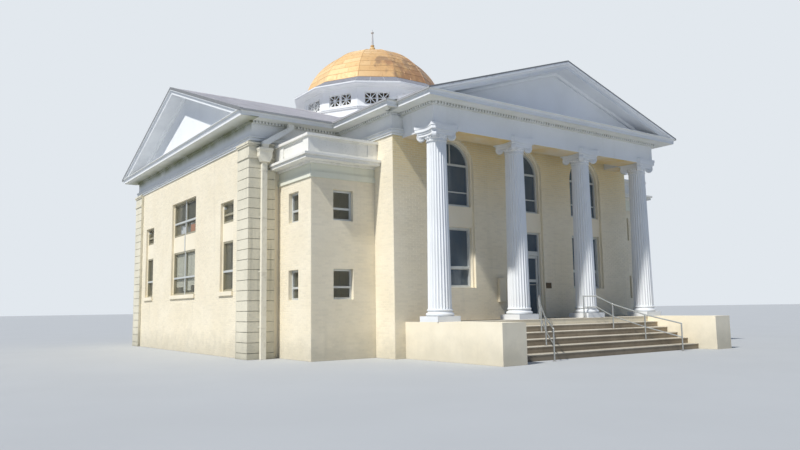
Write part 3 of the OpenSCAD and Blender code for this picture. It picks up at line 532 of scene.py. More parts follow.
class Palette:
    """All finishes of the hall, each made once."""

    SASH = Metal("window_metal", (206, 209, 206), (168, 170, 166), 0.2, 0.42, 0.25)
    KINDS = (
        # In the masonry finishes, the corner share and the dirt colour also lay painted shade in corners and
        # recesses
        Masonry("painted_brick", tone=0.10),
        # Porch walls warmed higher up by painted bounce light
        Masonry("porch_brick", tone=0.10, glow=(240, 216, 156)),
        Masonry("painted_wall"),
        Masonry("painted_corner", band=(230, 230, 212), band_z=(5.079, 5.60)),
        Masonry("painted_podium", streak=0.16, corner_shade=0.35, top=(168, 158, 140)),
        Masonry("painted_quoin", (232, 225, 203), (218, 212, 191), (112, 112, 98), 0.45, 0.9, 0.16,
                speck=0.16),
        # Undersides of the white render darkened as painted shade
        Masonry("white_render", WHITE, WHITE_TINT, (160, 160, 152), 0.07, 0.16, 0.06, 0.05, 0.03,
                under=(204, 207, 211)),
        # Painted shade in corners and on undersides, and an olive tint up the wing-end friezes
        Masonry("white_cornice", WHITE, WHITE_TINT, (116, 116, 76), 0.05, 0.6, 0.30, 0, 0.02,
                under=(208, 208, 190), painted_underside_share=0.5, frieze_olive=(118, 122, 84)),
        Masonry("parapet_render", (244, 242, 234), (236, 234, 225), (140, 136, 116), 0.22, 0.5, 0.12, 0,
                0.14),
        # Undersides of the porch beam and ceiling warmed as painted bounce light
        Masonry("porch_beam", WHITE, WHITE_TINT, (158, 150, 124), 0.12, splash=0, under=(222, 192, 124),
                painted_underside_share=0.95),
        Masonry("step_concrete", (172, 158, 137), (154, 141, 121), (104, 94, 78), 0.35, 0.6, speck=0.25,
                grain=60, depth=0.003, roughness=0.92, top=(206, 198, 180)),
        # Paler than the steps: painted highlight where the nosings catch the light
        Masonry("nosing_painted_highlight", (222, 215, 198), (206, 198, 180), (138, 128, 110), 0.25, speck=0.2,
                grain=60, depth=0.002, roughness=0.9),
        SASH,
        # Side sashes: outer members darker as painted shade of the reveals
        replace(SASH, name="side_sash", outer=(160, 152, 124)),
        Metal("rail_steel", (188, 190, 188), (150, 150, 146), 0.85, 0.36, rust=0.5),
        Metal("cream_pipe", (238, 233, 216), (190, 184, 164), 0, 0.5, rust=0.15, high=(236, 238, 236),
              high_z=6.30),
        Metal("white_metal", (234, 236, 234), (196, 197, 192), 0, 0.5, rust=0.15),
        Metal("finial_paint", (226, 190, 130), (150, 118, 76), 0, 0.5, rust=0.3, high=(206, 208, 210),
              high_z=13.05),
        Metal("bronze_plate", (84, 74, 60), (116, 100, 78), 0.7, 0.45),
        Metal("flashing", (190, 192, 192), (160, 160, 158), 0.1, 0.6, side=WHITE),
        Metal("dull_flashing", (136, 138, 146), (118, 118, 122), 0.1, 0.7),
        # Grey verge metal, darkened as painted shade of the roof edges
        Metal("verge_grey_painted_shade", (132, 134, 136), (112, 112, 112), 0.1, 0.7),
        Metal("eave_edge", (172, 173, 174), (140, 140, 138), 0.1, 0.7),
        Metal("card_white", (232, 236, 240), (204, 208, 212), 0, 0.8, 0.2),
        Metal("card_brown", (198, 124, 78), (168, 98, 60), 0, 0.8, 0.3),
        Metal("blind_slat", (214, 214, 198), (196, 196, 178), 0, 0.8, 0.2, brush=(1, 1, 40)),
        Shingle(),
        GoldSheet(),
        WindowGlass("front_glass", (94, 108, 120), 0.76),
        WindowGlass("side_glass", (150, 150, 130), 0.19),
    )

    def __init__(self) -> None:
        """Make every finish."""
        self.made = {kind.name: kind.make() for kind in self.KINDS}

    def __getitem__(self, name: str) -> bpy.types.Material:
        """The finish of that name."""
        return self.made[name]


def plates(
    corners: Array, normal: Array, lift: object, bevel: float, sink: float = 0.002
) -> tuple[Array, Array]:
    """Closed plates on quads: each foot is its quad sunk along the normal, each top is inset and lifted.

    Args:
        corners: Array (n, 4, 3), anticlockwise seen from outside.
        normal: Array (3,) or (n, 3).
        lift: Height of the top, a number or an array that fits (n, 4).
        bevel: Inset of the top along both edges.
        sink: Depth of the foot below the quad.

    Returns:
        Points (8n, 3) and faces (6n, 4).
    """
    n = len(corners)
    out = np.broadcast_to(np.asarray(normal, float).reshape(-1, 1, 3), (n, 1, 3))
    ahead, behind = np.roll(corners, -1, 1) - corners, np.roll(corners, 1, 1) - corners
    unit = [v / np.maximum(np.linalg.norm(v, axis=2, keepdims=True), 1e-9) for v in (ahead, behind)]
    rise = np.broadcast_to(np.asarray(lift, float), (n, 4))[..., None] * out
    top = corners + bevel * (unit[0] + unit[1]) + rise
    points = np.concatenate([corners - sink * out, top], 1).reshape(-1, 3)
    return points, (BOX_FACES[None] + 8 * np.arange(n)[:, None, None]).reshape(-1, 4)


def square_on(quads: Array) -> Array:
    """Unit normal of the first of some flat quads that lie in one plane."""
    normal = np.cross(quads[0, 1] - quads[0, 0], quads[0, 3] - quads[0, 0])
    return normal / np.linalg.norm(normal)


def tube(rings: int, k: int) -> Array:
    """Faces of a tube between rings of k points, closed at both ends.

    Args:
        rings: Number of rings.
        k: Points in each ring, an even number.

    Returns:
        Array of quads: the walls, then both ends as quads from one half of the ring to the other.
    """
    i, j = np.meshgrid(np.arange(rings - 1), np.arange(k), indexing="ij")
    ahead = (j + 1) % k
    walls = np.stack([(i + 1) * k + j, (i + 1) * k + ahead, i * k + ahead, i * k + j], -1).reshape(-1, 4)
    half = np.arange(k // 2 - 1)
    end = np.stack([half, half + 1, k - 2 - half, k - 1 - half], -1)
    return np.vstack([walls, end, end[:, ::-1] + (rings - 1) * k])


def sweep(section: Array, path: Array, up: Sequence[float] = (0, 0, 1)) -> tuple[Array, Array]:
    """Carry a closed section along a path with mitred corners and closed ends.

    Args:
        section: Array (k, 2), anticlockwise: right of the path and up from it.
        path: Array (n, 3).
        up: Direction that stays up in the section.

    Returns:
        Points: path point plus section x along the right vector, stretched at a mitre, plus section y up;
        and faces in quads.
    """
    path = np.asarray(path, float)
    legs = np.diff(path, axis=0)
    legs /= np.linalg.norm(legs, axis=1, keepdims=True)
    before, after = np.vstack([legs[:1], legs]), np.vstack([legs, legs[-1:]])
    mean = before + after
    mean /= np.linalg.norm(mean, axis=1, keepdims=True)
    right = np.cross(mean, np.asarray(up, float))
    right /= np.linalg.norm(right, axis=1, keepdims=True)
    stretch = 1.0 / np.maximum(np.einsum("ij,ij->i", mean, before), 0.2)
    aside = section[None, :, :1] * (right * stretch[:, None])[:, None]
    points = path[:, None] + aside + section[None, :, 1:] * np.cross(right, mean)[:, None]
    return points.reshape(-1, 3), tube(len(path), len(section))


def ring(radius: float, count: int) -> Array:
    """Points of a circle, anticlockwise, as an array (count, 2)."""
    turn = np.linspace(0, 2 * np.pi, count, endpoint=False)
    return radius * np.stack([np.cos(turn), np.sin(turn)], 1)


@dataclass
class Piece:
    """A mesh being gathered from arrays of vertices and faces."""

    name: str
    finish: str
    slot: str
    body: str = HALL
    points: list[Array] = field(default_factory=list)
    faces: list[Array] = field(default_factory=list)
    tones: list[Array] = field(default_factory=list)
    count: int = 0

    def add(self, points: Array, faces: Array, tones: Optional[Array] = None) -> None:
        """Add vertices and the faces between them.

        Args:
            points: Array (n, 3) in metres.
            faces: Array (m, 4) of indices into points, outward by the right-hand rule.
            tones: One value from 0 to 1 for each face.
        """
        self.points.append(points.reshape(-1, 3))
        self.faces.append(faces + self.count)
        self.tones.append(np.zeros(len(faces)) if tones is None else tones)
        self.count += len(self.points[-1])

    def panels(
        self, side: Side, face: float, boxes: object, lift: object, bevel: float, sink: float = 0.002
    ) -> None:
        """Add a plate on each rectangle of a wall.

        Args:
            side: Side of the building.
            face: Distance of the wall face.
            boxes: Left, right, low and high of each rectangle, array (n, 4).
            lift: Height of the tops, as plates takes it.
            bevel: Inset of the tops.
            sink: Depth of the feet.
        """
        flat = np.atleast_2d(np.asarray(boxes, float))[:, [[0, 2], [1, 2], [1, 3], [0, 3]]]
        self.add(*plates(side.lift(flat, face), side.out, lift, bevel, sink))

    def build(self, palette: Palette, smooth: bool = False) -> bpy.types.Object:
        """Make the Blender object, at the origin, riding on its body.

        Args:
            palette: Where the finish comes from.
            smooth: True for smooth shading with sharp edges kept over 35 degrees.

        Returns:
            The new object.
        """
        mesh = bpy.data.meshes.new(self.name)
        mesh.from_pydata(np.concatenate(self.points), [], np.concatenate(self.faces))
        tone = mesh.attributes.new("tone", "FLOAT", "FACE")
        tone.data.foreach_set("value", np.concatenate(self.tones).astype(np.float32))
        mesh.validate()
        mesh.update()
        thing = bpy.data.objects.new(self.name, mesh)
        bpy.context.scene.collection.objects.link(thing)
        if smooth:
            mesh.shade_smooth()
            mesh.set_sharp_from_angle(angle=math.radians(35))
        mesh.materials.append(palette[self.finish])
        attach(thing, self.body)
        LOG.info("%s: %d faces, finish %s", self.name, len(mesh.polygons), self.finish)
        return thing


@dataclass(frozen=True)
class Hole:
    """A hole in a wall: a rectangle, or an arch where the springing is given."""

    left: float
    right: float
    low: float
    high: float
    spring: Optional[float] = None

    def half(self, z: Array) -> Array:
        """Half width at some heights: whole below the springing, then by the circle.

        Args:
            z: The heights.

        Returns:
            The half width at each.
        """
        whole = (self.right - self.left) / 2
        if self.spring is None:
            return np.full_like(z, whole)
        return np.sqrt(np.maximum(whole**2 - np.maximum(z - self.spring, 0) ** 2, 0))


@dataclass
class Brickwork:
    """Running bond brick faces on the walls, cut round the openings."""

    palette: Palette
    length: float = 0.2127
    course: float = 0.0677
    joint: float = 0.010
    proud: float = 0.0035
    bevel: float = 0.0025
    least: float = 0.014
    least_edge: float = 0.004
    band: float = 6.35
    front_top: float = 6.735
    block_top: float = 5.08
    floor: float = 1.02
    bay_half: float = 0.79
    bay_sill: float = 1.99
    bay_spring: float = 5.72
    bay_top: float = 6.51
    wide_half: float = 1.31
    slim_half: float = 0.535
    block_rows: tuple = ((1.67, 2.53), (3.90, 4.78))
    podium_half: float = 4.895
    beam: tuple = (4.10, 4.90, 6.28)
    band_end: tuple = (4.88, 6.0)
    above: float = 9.0

    def rows(self, left: float, right: float, low: float, high: float, holes: Sequence[Hole]) -> Array:
        """Brick faces of one wall as trapezoids.

        Args:
            left: Left end of the wall.
            right: Right end of the wall.
            low: Foot of the wall.
            high: Top of the wall.
            holes: What to cut out.

        Returns:
            Array (n, 6) of bottom left, bottom right, top left, top right, low and high.
        """
        row = np.arange(int(low // self.course), int(math.ceil(high / self.course)))
        col = np.arange(int(left // self.length) - 1, int(math.ceil(right / self.length)) + 1)
        r, c = (a.ravel() for a in np.meshgrid(row, col, indexing="ij"))
        x0 = (c + 0.5 * (r % 2)) * self.length
        x1 = x0 + self.length - self.joint
        z0 = np.maximum(r * self.course, low)
        z1 = np.minimum((r + 1) * self.course - self.joint, high)
        x0, x1 = np.maximum(x0, left), np.minimum(x1, right)
        bricks = np.stack([x0, x1, x0, x1, z0, z1], 1)
        for hole in holes:
            bricks = self.cut(bricks, hole)
        foot, head, tall = (bricks[:, k + 1] - bricks[:, k] for k in (0, 2, 4))
        wide = ((foot + head) / 2 > self.least) & (np.minimum(foot, head) > self.least_edge)
        return bricks[wide & (tall > self.least)]

    @staticmethod
    def cut(bricks: Array, hole: Hole) -> Array:
        """Cut a hole out of the bricks.

        Args:
            bricks: Array (n, 6).
            hole: The hole.

        Returns:
            Bricks clear of the hole, then the parts left of, right of, below and above it.
        """
        meets = (bricks[:, 5] > hole.low) & (bricks[:, 4] < hole.high)
        hit, centre = bricks[meets], (hole.left + hole.right) / 2
        foot, head = hole.half(hit[:, 4]), hole.half(hit[:, 5])
        left, right, below, above = (hit.copy() for _ in range(4))
        left[:, 1], left[:, 3] = np.minimum(hit[:, 1], centre - foot), np.minimum(hit[:, 3], centre - head)
        right[:, 0], right[:, 2] = np.maximum(hit[:, 0], centre + foot), np.maximum(hit[:, 2], centre + head)
        for part in (below, above):
            part[:, [0, 2]] = np.maximum(part[:, [0, 2]], hole.left)
            part[:, [1, 3]] = np.minimum(part[:, [1, 3]], hole.right)
        below[:, 5] = np.minimum(hit[:, 5], hole.low)
        above[:, 4] = np.maximum(hit[:, 4], hole.high)
        return np.vstack([bricks[~meets], left, right, below, above])

    def lay(
        self, piece: Piece, side: Side, face: float, spans: Sequence[tuple], holes: Sequence[Hole] = ()
    ) -> None:
        """Lay bricks on one face.

        Args:
            piece: The piece to add to.
            side: Side of the building.
            face: Distance of the face from the centre of the dome.
            spans: Left, right, low and high of each stretch.
            holes: What to cut out.
        """
        for span in spans:
            b = self.rows(*span, holes)
            flat = np.stack([b[:, [0, 4]], b[:, [1, 4]], b[:, [3, 5]], b[:, [2, 5]]], 1)
            points, faces = plates(side.lift(flat, face), side.out, self.proud, self.bevel)
            tone = np.random.default_rng(len(b) + int(face * 100)).random(len(b)) ** 2
            piece.add(points, faces, np.repeat(tone, 6))

    def windows(self, narrow: float) -> list[Hole]:
        """The tall recess in the middle of a wall and the narrow ones at that distance from it.

        Args:
            narrow: Distance of the narrow recesses from the middle.

        Returns:
            The three holes.
        """
        sill, top = LOWER_ROW[0], UPPER_NARROW[1]
        slim = [Hole(x - self.slim_half, x + self.slim_half, sill, top) for x in (-narrow, narrow)]
        return [Hole(-self.wide_half, self.wide_half, sill, UPPER_WIDE[1]), *slim]

    def build(self) -> None:
        """Lay the front, the wing ends, the back, the arm sides and the corner blocks."""
        front = Piece("front_brickwork", "porch_brick", "brick_cream")
        bays = [
            Hole(x - self.bay_half, x + self.bay_half, low, self.bay_top, self.bay_spring)
            for x, low in ((-3, self.bay_sill), (0, self.floor), (3, self.bay_sill))
        ]
        # The podium, the side beams of the portico and the band cover the wall here
        covered = [Hole(-self.podium_half, self.podium_half, -1, self.floor)]
        for near, far, foot in (self.beam, (*self.band_end, self.band)):
            covered += [Hole(near, far, foot, self.above), Hole(-far, -near, foot, self.above)]
        self.lay(front, Side.FRONT, ARM_FACE, [(-ARM_SIDE, ARM_SIDE, 0, self.front_top)], bays + covered)
        front.build(self.palette)
        whole = (-ARM_SIDE, ARM_SIDE, 0, self.band)
        ends = Piece("wing_brickwork", "painted_brick", "brick_cream")
        for side in (Side.LEFT, Side.RIGHT):
            self.lay(ends, side, WING_FACE, [whole], self.windows(WING_SLIM))
        ends.build(self.palette)
        back = Piece("back_brickwork", "painted_brick", "brick_cream")
        self.lay(back, Side.BACK, ARM_FACE, [whole], self.windows(BACK_SLIM))
        flanks = [(-ARM_FACE, -BLOCK_FRONT, 0, self.band), (BLOCK_FRONT, ARM_FACE, 0, self.band)]
        for side in (Side.LEFT, Side.RIGHT):
            self.lay(back, side, ARM_SIDE, flanks)
        back.build(self.palette)
        blocks = Piece("corner_brickwork", "painted_brick", "brick_cream")
        for sides, face, inner, outer, middle, half in (
            ((Side.FRONT, Side.BACK), BLOCK_FRONT, ARM_SIDE, BLOCK_SIDE, 6.325, 0.325),
            ((Side.LEFT, Side.RIGHT), BLOCK_SIDE, 6.0, BLOCK_FRONT, 6.98, 0.31),
        ):
            holes = [Hole(s * middle - half, s * middle + half, *z) for s in (-1, 1) for z in self.block_rows]
            spans = [(-outer, -inner, 0, self.block_top), (inner, outer, 0, self.block_top)]
            for side in sides:
                self.lay(blocks, side, face, spans, holes)
        blocks.build(self.palette)


@dataclass
class Roofing:
    """Felt shingles on every slope, with ridge caps and metal edges."""

    palette: Palette
    drum: float = 2.946
    tab: float = 0.305
    course: float = 0.1435
    cap_step: float = 0.14
    cap_lap: float = 0.03
    cap_half: float = 0.15
    gap: float = 0.006
    tuck: float = 0.02
    least: float = 0.03
    least_cap: float = 0.05
    valley: float = 0.09
    drum_lap: float = 0.05
    wing_drop: float = 0.076
    arm_drop: float = 0.026
    eave_drop: float = 0.040
    row_lift: tuple = (0.012, 0.012, 0.003, 0.003)
    cap_lift: tuple = (0.006, 0.016, 0.016, 0.006)

    def slope(self, piece: Piece, roof: Roof, down: Side, start: float, stop: float, seed: int) -> None:
        """Shingle one slope: rows climb from the eaves, and each row is shifted by half a tab.

        Args:
            piece: The piece to add to.
            roof: The roof.
            down: Side towards which the slope falls.
            start: First place along the ridge, on the axis of the building.
            stop: Last place along the ridge.
            seed: Seed of the tile tones.
        """
        out, run = down.out, np.abs(down.run)
        flat = self.course / math.sqrt(1 + roof.pitch**2)
        rows, tabs = int(roof.half / flat) + 1, int((stop - start) / self.tab) + 2
        r, c = (a.ravel() for a in np.meshgrid(np.arange(rows), np.arange(tabs), indexing="ij"))
        u0 = start + (c - 0.5 * (r % 2)) * self.tab + self.gap / 2
        u1 = np.clip(u0 + self.tab - self.gap, start, stop)
        u0 = np.clip(u0, start, stop)
        d0, d1 = roof.half - r * flat, np.maximum(roof.half - (r + 1) * flat - self.tuck, 0.0)
        keep = (u1 - u0 > self.least) & (d0 - d1 > self.least)
        u, d = np.stack([u0, u1, u1, u0], 1)[keep], np.stack([d0, d0, d1, d1], 1)[keep]
        quads = u[..., None] * run + d[..., None] * out
        quads[..., 2] += EAVES + (roof.half - d) * roof.pitch
        mid = quads.mean(1)
        ax, ay = np.abs(mid[:, 0]), np.abs(mid[:, 1])
        wing, arm = EAVES + (WING.half - ay) * WING.pitch, EAVES + (ARM.half - ax) * ARM.pitch
        other = np.where(np.isclose(mid[:, 2], wing, atol=0.03), arm, wing)
        alone = (ax >= WING.reach) | (ay >= ARM.reach)
        outside = np.hypot(mid[:, 0], mid[:, 1]) > self.drum - self.drum_lap
        quads = quads[(alone | (mid[:, 2] > other - self.valley)) & outside]
        tone = np.random.default_rng(seed).random(len(quads)) ** 1.5
        self.lap(piece, quads, np.append(out[:2] * roof.pitch, 1.0), self.row_lift, tone, 0.001, 0.004)

    @staticmethod
    def lap(
        piece: Piece, quads: Array, up: Array, lift: tuple, tone: Array, bevel: float = 0, sink: float = 0.002
    ) -> None:
        """Add plates that lie higher at one edge than at the other.

        Args:
            piece: The piece to add to.
            quads: Array (n, 4, 3), turned over where it doesn't face up.
            up: Direction square on the quads, of any length.
            lift: Height at each corner.
            tone: One tone for each plate.
            bevel: Inset of the tops.
            sink: Depth of the feet.
        """
        up = up / np.linalg.norm(up)
        if np.dot(square_on(quads), up) < 0:
            quads, lift = quads[:, ::-1], lift[::-1]
        piece.add(*plates(quads, up, lift, bevel, sink), np.repeat(tone, 6))

    def build(self) -> None:
        """Shingle the wings, the arms and the portico, then edge the roofs and cap the ridges."""
        wing = Piece("wing_shingles", "felt_shingle", "roof_sheet")
        arm = Piece("arm_shingles", "felt_shingle", "roof_sheet")
        for k, (s, t) in enumerate(((1, 1), (1, -1), (-1, 1), (-1, -1))):
            start, stop = sorted((0, s * WING.reach))
            self.slope(wing, WING, Side.BACK if t > 0 else Side.FRONT, start, stop, k)
            start, stop = sorted((0, s * ARM.reach))
            self.slope(arm, ARM, Side.RIGHT if t > 0 else Side.LEFT, start, stop, k + 9)
        for side, seed in ((Side.RIGHT, 21), (Side.LEFT, 19)):
            self.slope(arm, PORCH, side, -PORCH.reach, -ARM.reach, seed)
        wing.build(self.palette)
        arm.build(self.palette)
        self.trim()
        self.ridges()

    @staticmethod
    def strip(drop: float) -> Array:
        """Section of a metal edge whose face hangs by the drop, with a leg back over the tiles."""
        leg = [[0.004, 0.016], [-0.10, 0.020], [-0.10, 0.012], [-0.022, 0.010]]
        return np.array([[0.004, -drop], *leg, [-0.022, -drop]])

    def trim(self) -> None:
        """Run a metal edge along each gable, deep on the wings, and a narrow one along each eave."""
        # The verge finish is grey metal darkened as painted shade of the roof edges
        verge = Piece("verge_edges", "verge_grey_painted_shade", "roof_sheet")
        for roof, side in ((WING, Side.RIGHT), (WING, Side.LEFT), (ARM, Side.BACK), (PORCH, Side.FRONT)):
            drop = self.wing_drop if roof is WING else self.arm_drop
            verge.add(*sweep(self.strip(drop), roof.gable(side)))
        verge.build(self.palette)
        z = EAVES
        around, across = np.array([-1.0, -1.0, 1.0]), np.array([-1.0, 1.0, 1.0])
        eave = np.array([[WING.reach, WING.half, z], [ARM.half, WING.half, z], [ARM.half, ARM.reach, z]])
        porch = np.array([[PORCH.half, -PORCH.reach, z], [PORCH.half, -ARM.reach, z]])
        mirrored = [(line * across)[::-1] for line in (porch, eave, eave * around)]
        edge = Piece("drip_edges", "eave_edge", "roof_sheet")
        for line in (eave, eave * around, porch, *mirrored):
            edge.add(*sweep(self.strip(self.eave_drop), line))
        edge.build(self.palette)

    def ridges(self) -> None:
        """Fold a row of caps over each ridge, each lapping the next."""
        piece = Piece("ridge_caps", "felt_shingle", "roof_sheet")
        rows = ((Side.RIGHT, self.drum, WING), (Side.LEFT, self.drum, WING), (Side.BACK, self.drum, ARM),
                (Side.FRONT, self.drum, ARM), (Side.FRONT, ARM.reach, PORCH))
        for seed, (side, start, roof) in enumerate(rows):
            first = np.arange(start, roof.reach - self.least_cap, self.cap_step)
            last = np.minimum(first + self.cap_step + self.cap_lap, roof.reach)
            top = np.array([0, 0, EAVES + roof.half * roof.pitch])
            a, b = top + first[:, None] * side.out, top + last[:, None] * side.out
            for s in (1, -1):
                fall = self.cap_half * (np.array([0, 0, -roof.pitch]) + s * side.run)
                quads = np.stack([a, b, b + fall, a + fall], 1)
                tone = np.random.default_rng(40 + seed).random(len(quads))
                up = np.array([0, 0, 1.0]) + s * roof.pitch * side.run
                self.lap(piece, quads, up, self.cap_lift, tone)
        piece.build(self.palette)


@dataclass
class Mouldings:
    """Crown and fascia under the crown of the level cornices, and the whole raking cornices."""

    palette: Palette
    nose: float = 0.535
    cover: float = 0.080
    back: float = -0.024
    level_foot: float = 0.172
    rake_foot: float = 0.162
    rake_depth: float = 0.230

    def profile(self, foot: float) -> Array:
        """Face of the crown and the fascia.

        Args:
            foot: Depth of the foot of the fascia below the top of the crown.

        Returns:
            Array (n, 2) of distance from the wall face and depth: a lip, a cove by a quarter of a sine, a
            fillet and the upright fascia.
        """
        turn = np.linspace(0, np.pi / 2, 7)
        fillet = self.nose + 0.009
        cove = [fillet + (OVERHANG - fillet) * (1 - np.sin(turn)), 0.016 + 0.074 * (1 - np.cos(turn))]
        fascia = [[fillet, 0.100], [self.nose, 0.104], [self.nose, foot]]
        return np.vstack([[OVERHANG, 0.0], np.stack(cove, 1), fascia])

    def level(self) -> None:
        """Run the crown and fascia under the eaves, all round in one loop from the middle of the back."""
        corners = [(ARM.half, ARM.reach), (ARM.half, WING.half), (WING.reach, WING.half)]
        corners += [(x, -y) for x, y in corners[::-1]]
        corners += [(PORCH.half, -ARM.reach), (PORCH.half, -PORCH.reach)]
        plan = np.array([(0.0, ARM.reach), *[(-x, y) for x, y in corners], *corners[::-1], (0.0, ARM.reach)])
        path = np.column_stack([plan, np.full(len(plan), EAVES)])
        face = self.profile(self.level_foot)[1:]
        outer = np.column_stack([face[:, 0] - OVERHANG, -face[:, 1]])
        outer[0] += (-0.004, 0.004)
        inner = np.column_stack([np.full(len(outer), -0.165), np.linspace(-0.158, -0.012, len(outer))])
        piece = Piece("crown_mouldings", "white_cornice", "render_white")
        piece.add(*sweep(np.vstack([outer[::-1], inner[::-1]]), path))
        piece.build(self.palette)

    def rake(self, piece: Piece, side: Side, roof: Roof) -> None:
        """One raking cornice, from foot to ridge to foot.

        Args:
            piece: The piece to add to.
            side: Side of the building that the gable faces.
            roof: The roof over it.
        """
        depth = self.rake_depth
        under = [[0.100, self.rake_foot], [0.088, 0.178], [0.070, 0.204], [0.060, depth], [-0.012, depth]]
        outer = np.vstack([self.profile(self.rake_foot), under]) + [0.0, self.cover]
        inner = [np.full(len(outer), self.back), np.linspace(self.cover + depth, self.cover, len(outer))]
        out, drop = np.vstack([outer, np.column_stack(inner)]).T
        run, foot = roof.half - drop / roof.pitch, np.full(len(drop), EAVES)
        u = np.stack([-run, np.zeros_like(run), run])
        z = np.stack([foot, EAVES + roof.half * roof.pitch - drop, foot])
        points = side.lift(np.stack([u, z], -1), (roof.reach - OVERHANG + out)[None, :, None])
        piece.add(points, tube(3, len(drop))[:, ::-1])

    def build(self) -> None:
        """Make the level run and the four raking cornices."""
        self.level()
        rakes = Piece("raking_mouldings", "white_render", "render_white")
        for side, roof in ((Side.LEFT, WING), (Side.RIGHT, WING), (Side.BACK, ARM), (Side.FRONT, PORCH)):
            self.rake(rakes, side, roof)
        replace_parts(rakes.build(self.palette), "raking_cornices")


@dataclass
class Dome:
    """Gold sheets on the twelve facets, seam rolls on the hips and flashing on the skirt."""

    palette: Palette
    foot: float = 10.650
    radius: float = 2.930
    rise: float = 2.020
    rows: int = 12
    facets: int = 12
    skirt_radius: float = 3.5
    skirt_z: float = 10.305
    seam: float = 1 / 60
    margin: float = 0.003
    cuts: tuple = (0.34, 0.66, 0.5)
    split_rows: int = 8
    sheet_lift: tuple = (0.010, 0.010, 0.004, 0.004)
    sheet_bevel: float = 0.011
    roll: float = 0.014
    skirt_share: float = 0.985

    def arc(self, share: Array) -> tuple[Array, Array]:
        """Corner radius and height on the dome.

        Args:
            share: 0 at the foot and 1 at the crown.

        Returns:
            Radius r cos a and height r sin a for the angle a at that share of the arc.
        """
        r = (self.radius**2 + self.rise**2) / (2 * self.rise)
        start = math.asin((r - self.rise) / r)
        a = start + (np.pi / 2 - start) * share
        return r * np.cos(a), self.foot + self.rise - r + r * np.sin(a)

    def corner(self, k: int) -> Array:
        """Direction of the corner where facet k starts."""
        a = math.radians(15 + 360 / self.facets * k)
        return np.array([math.cos(a), math.sin(a)])

    def facet(self, k: int, share: Array, r: float, z: float) -> Array:
        """Points across facet k, at shares of its width, where its corners have radius r and height z."""
        flat = r * (self.corner(k) + share[:, None] * (self.corner(k + 1) - self.corner(k)))
        return np.column_stack([flat, np.full(len(share), z)])

    def quads(self, k: int, shares: tuple[Array, Array], foot: tuple, top: tuple) -> Array:
        """Quads side by side across facet k.

        Args:
            k: The facet.
            shares: Where the quads start and where they end, as shares of the width.
            foot: Corner radius and height of their lower edge.
            top: Corner radius and height of their upper edge.

        Returns:
            Array (n, 4, 3), anticlockwise seen from outside.
        """
        low = [self.facet(k, share, *foot) for share in shares]
        high = [self.facet(k, share, *top) for share in shares[::-1]]
        return np.stack(low + high, 1)

    def build(self) -> None:
        """Make the sheets, the hips and the skirt."""
        rng = np.random.default_rng(12)
        sheets = Piece("dome_sheets", "gold_sheet", "gold_sheet")
        row = np.arange(self.rows - 1)
        r0, z0 = self.arc(row / self.rows)
        r1, z1 = self.arc((row + 1) / self.rows)
        r0, z0 = r0 + self.seam * (r1 - r0), z0 + self.seam * (z1 - z0)
        for k in range(self.facets):
            for j in row:
                cuts = np.array([0, self.cuts[(j + k) % 3], 1] if j < self.split_rows else [0, 1])
                shares = (cuts[:-1] + self.margin, cuts[1:] - self.margin)
                quads = self.quads(k, shares, (r0[j], z0[j]), (r1[j], z1[j]))
                tone = np.ones((len(quads), 6))
                tone[:, :2] = 0.8 * rng.random((len(quads), 1))
                sheets.add(*plates(quads, square_on(quads), self.sheet_lift, self.sheet_bevel), tone.ravel())
        sheets.build(self.palette)
        hips = Piece("dome_hips", "gold_sheet", "gold_sheet")
        r, z = self.arc(np.linspace(0, (self.rows - 0.8) / self.rows, 24))
        for k in range(self.facets):
            hips.add(*sweep(ring(self.roll, 8), np.column_stack([r[:, None] * self.corner(k), z + 0.002])))
        hips.build(self.palette, smooth=True)
        skirt = Piece("skirt_flashing", "dull_flashing", "render_white")
        first = np.array([0, 1 / 3, 2 / 3])
        shares = (first, first + self.skirt_share / 3)
        for k in range(self.facets):
            quads = self.quads(k, shares, (self.skirt_radius, self.skirt_z), (self.radius, self.foot))
            skirt.add(*plates(quads, square_on(quads), 0.006, 0.002), np.repeat(rng.random(3), 6))
        skirt.build(self.palette)


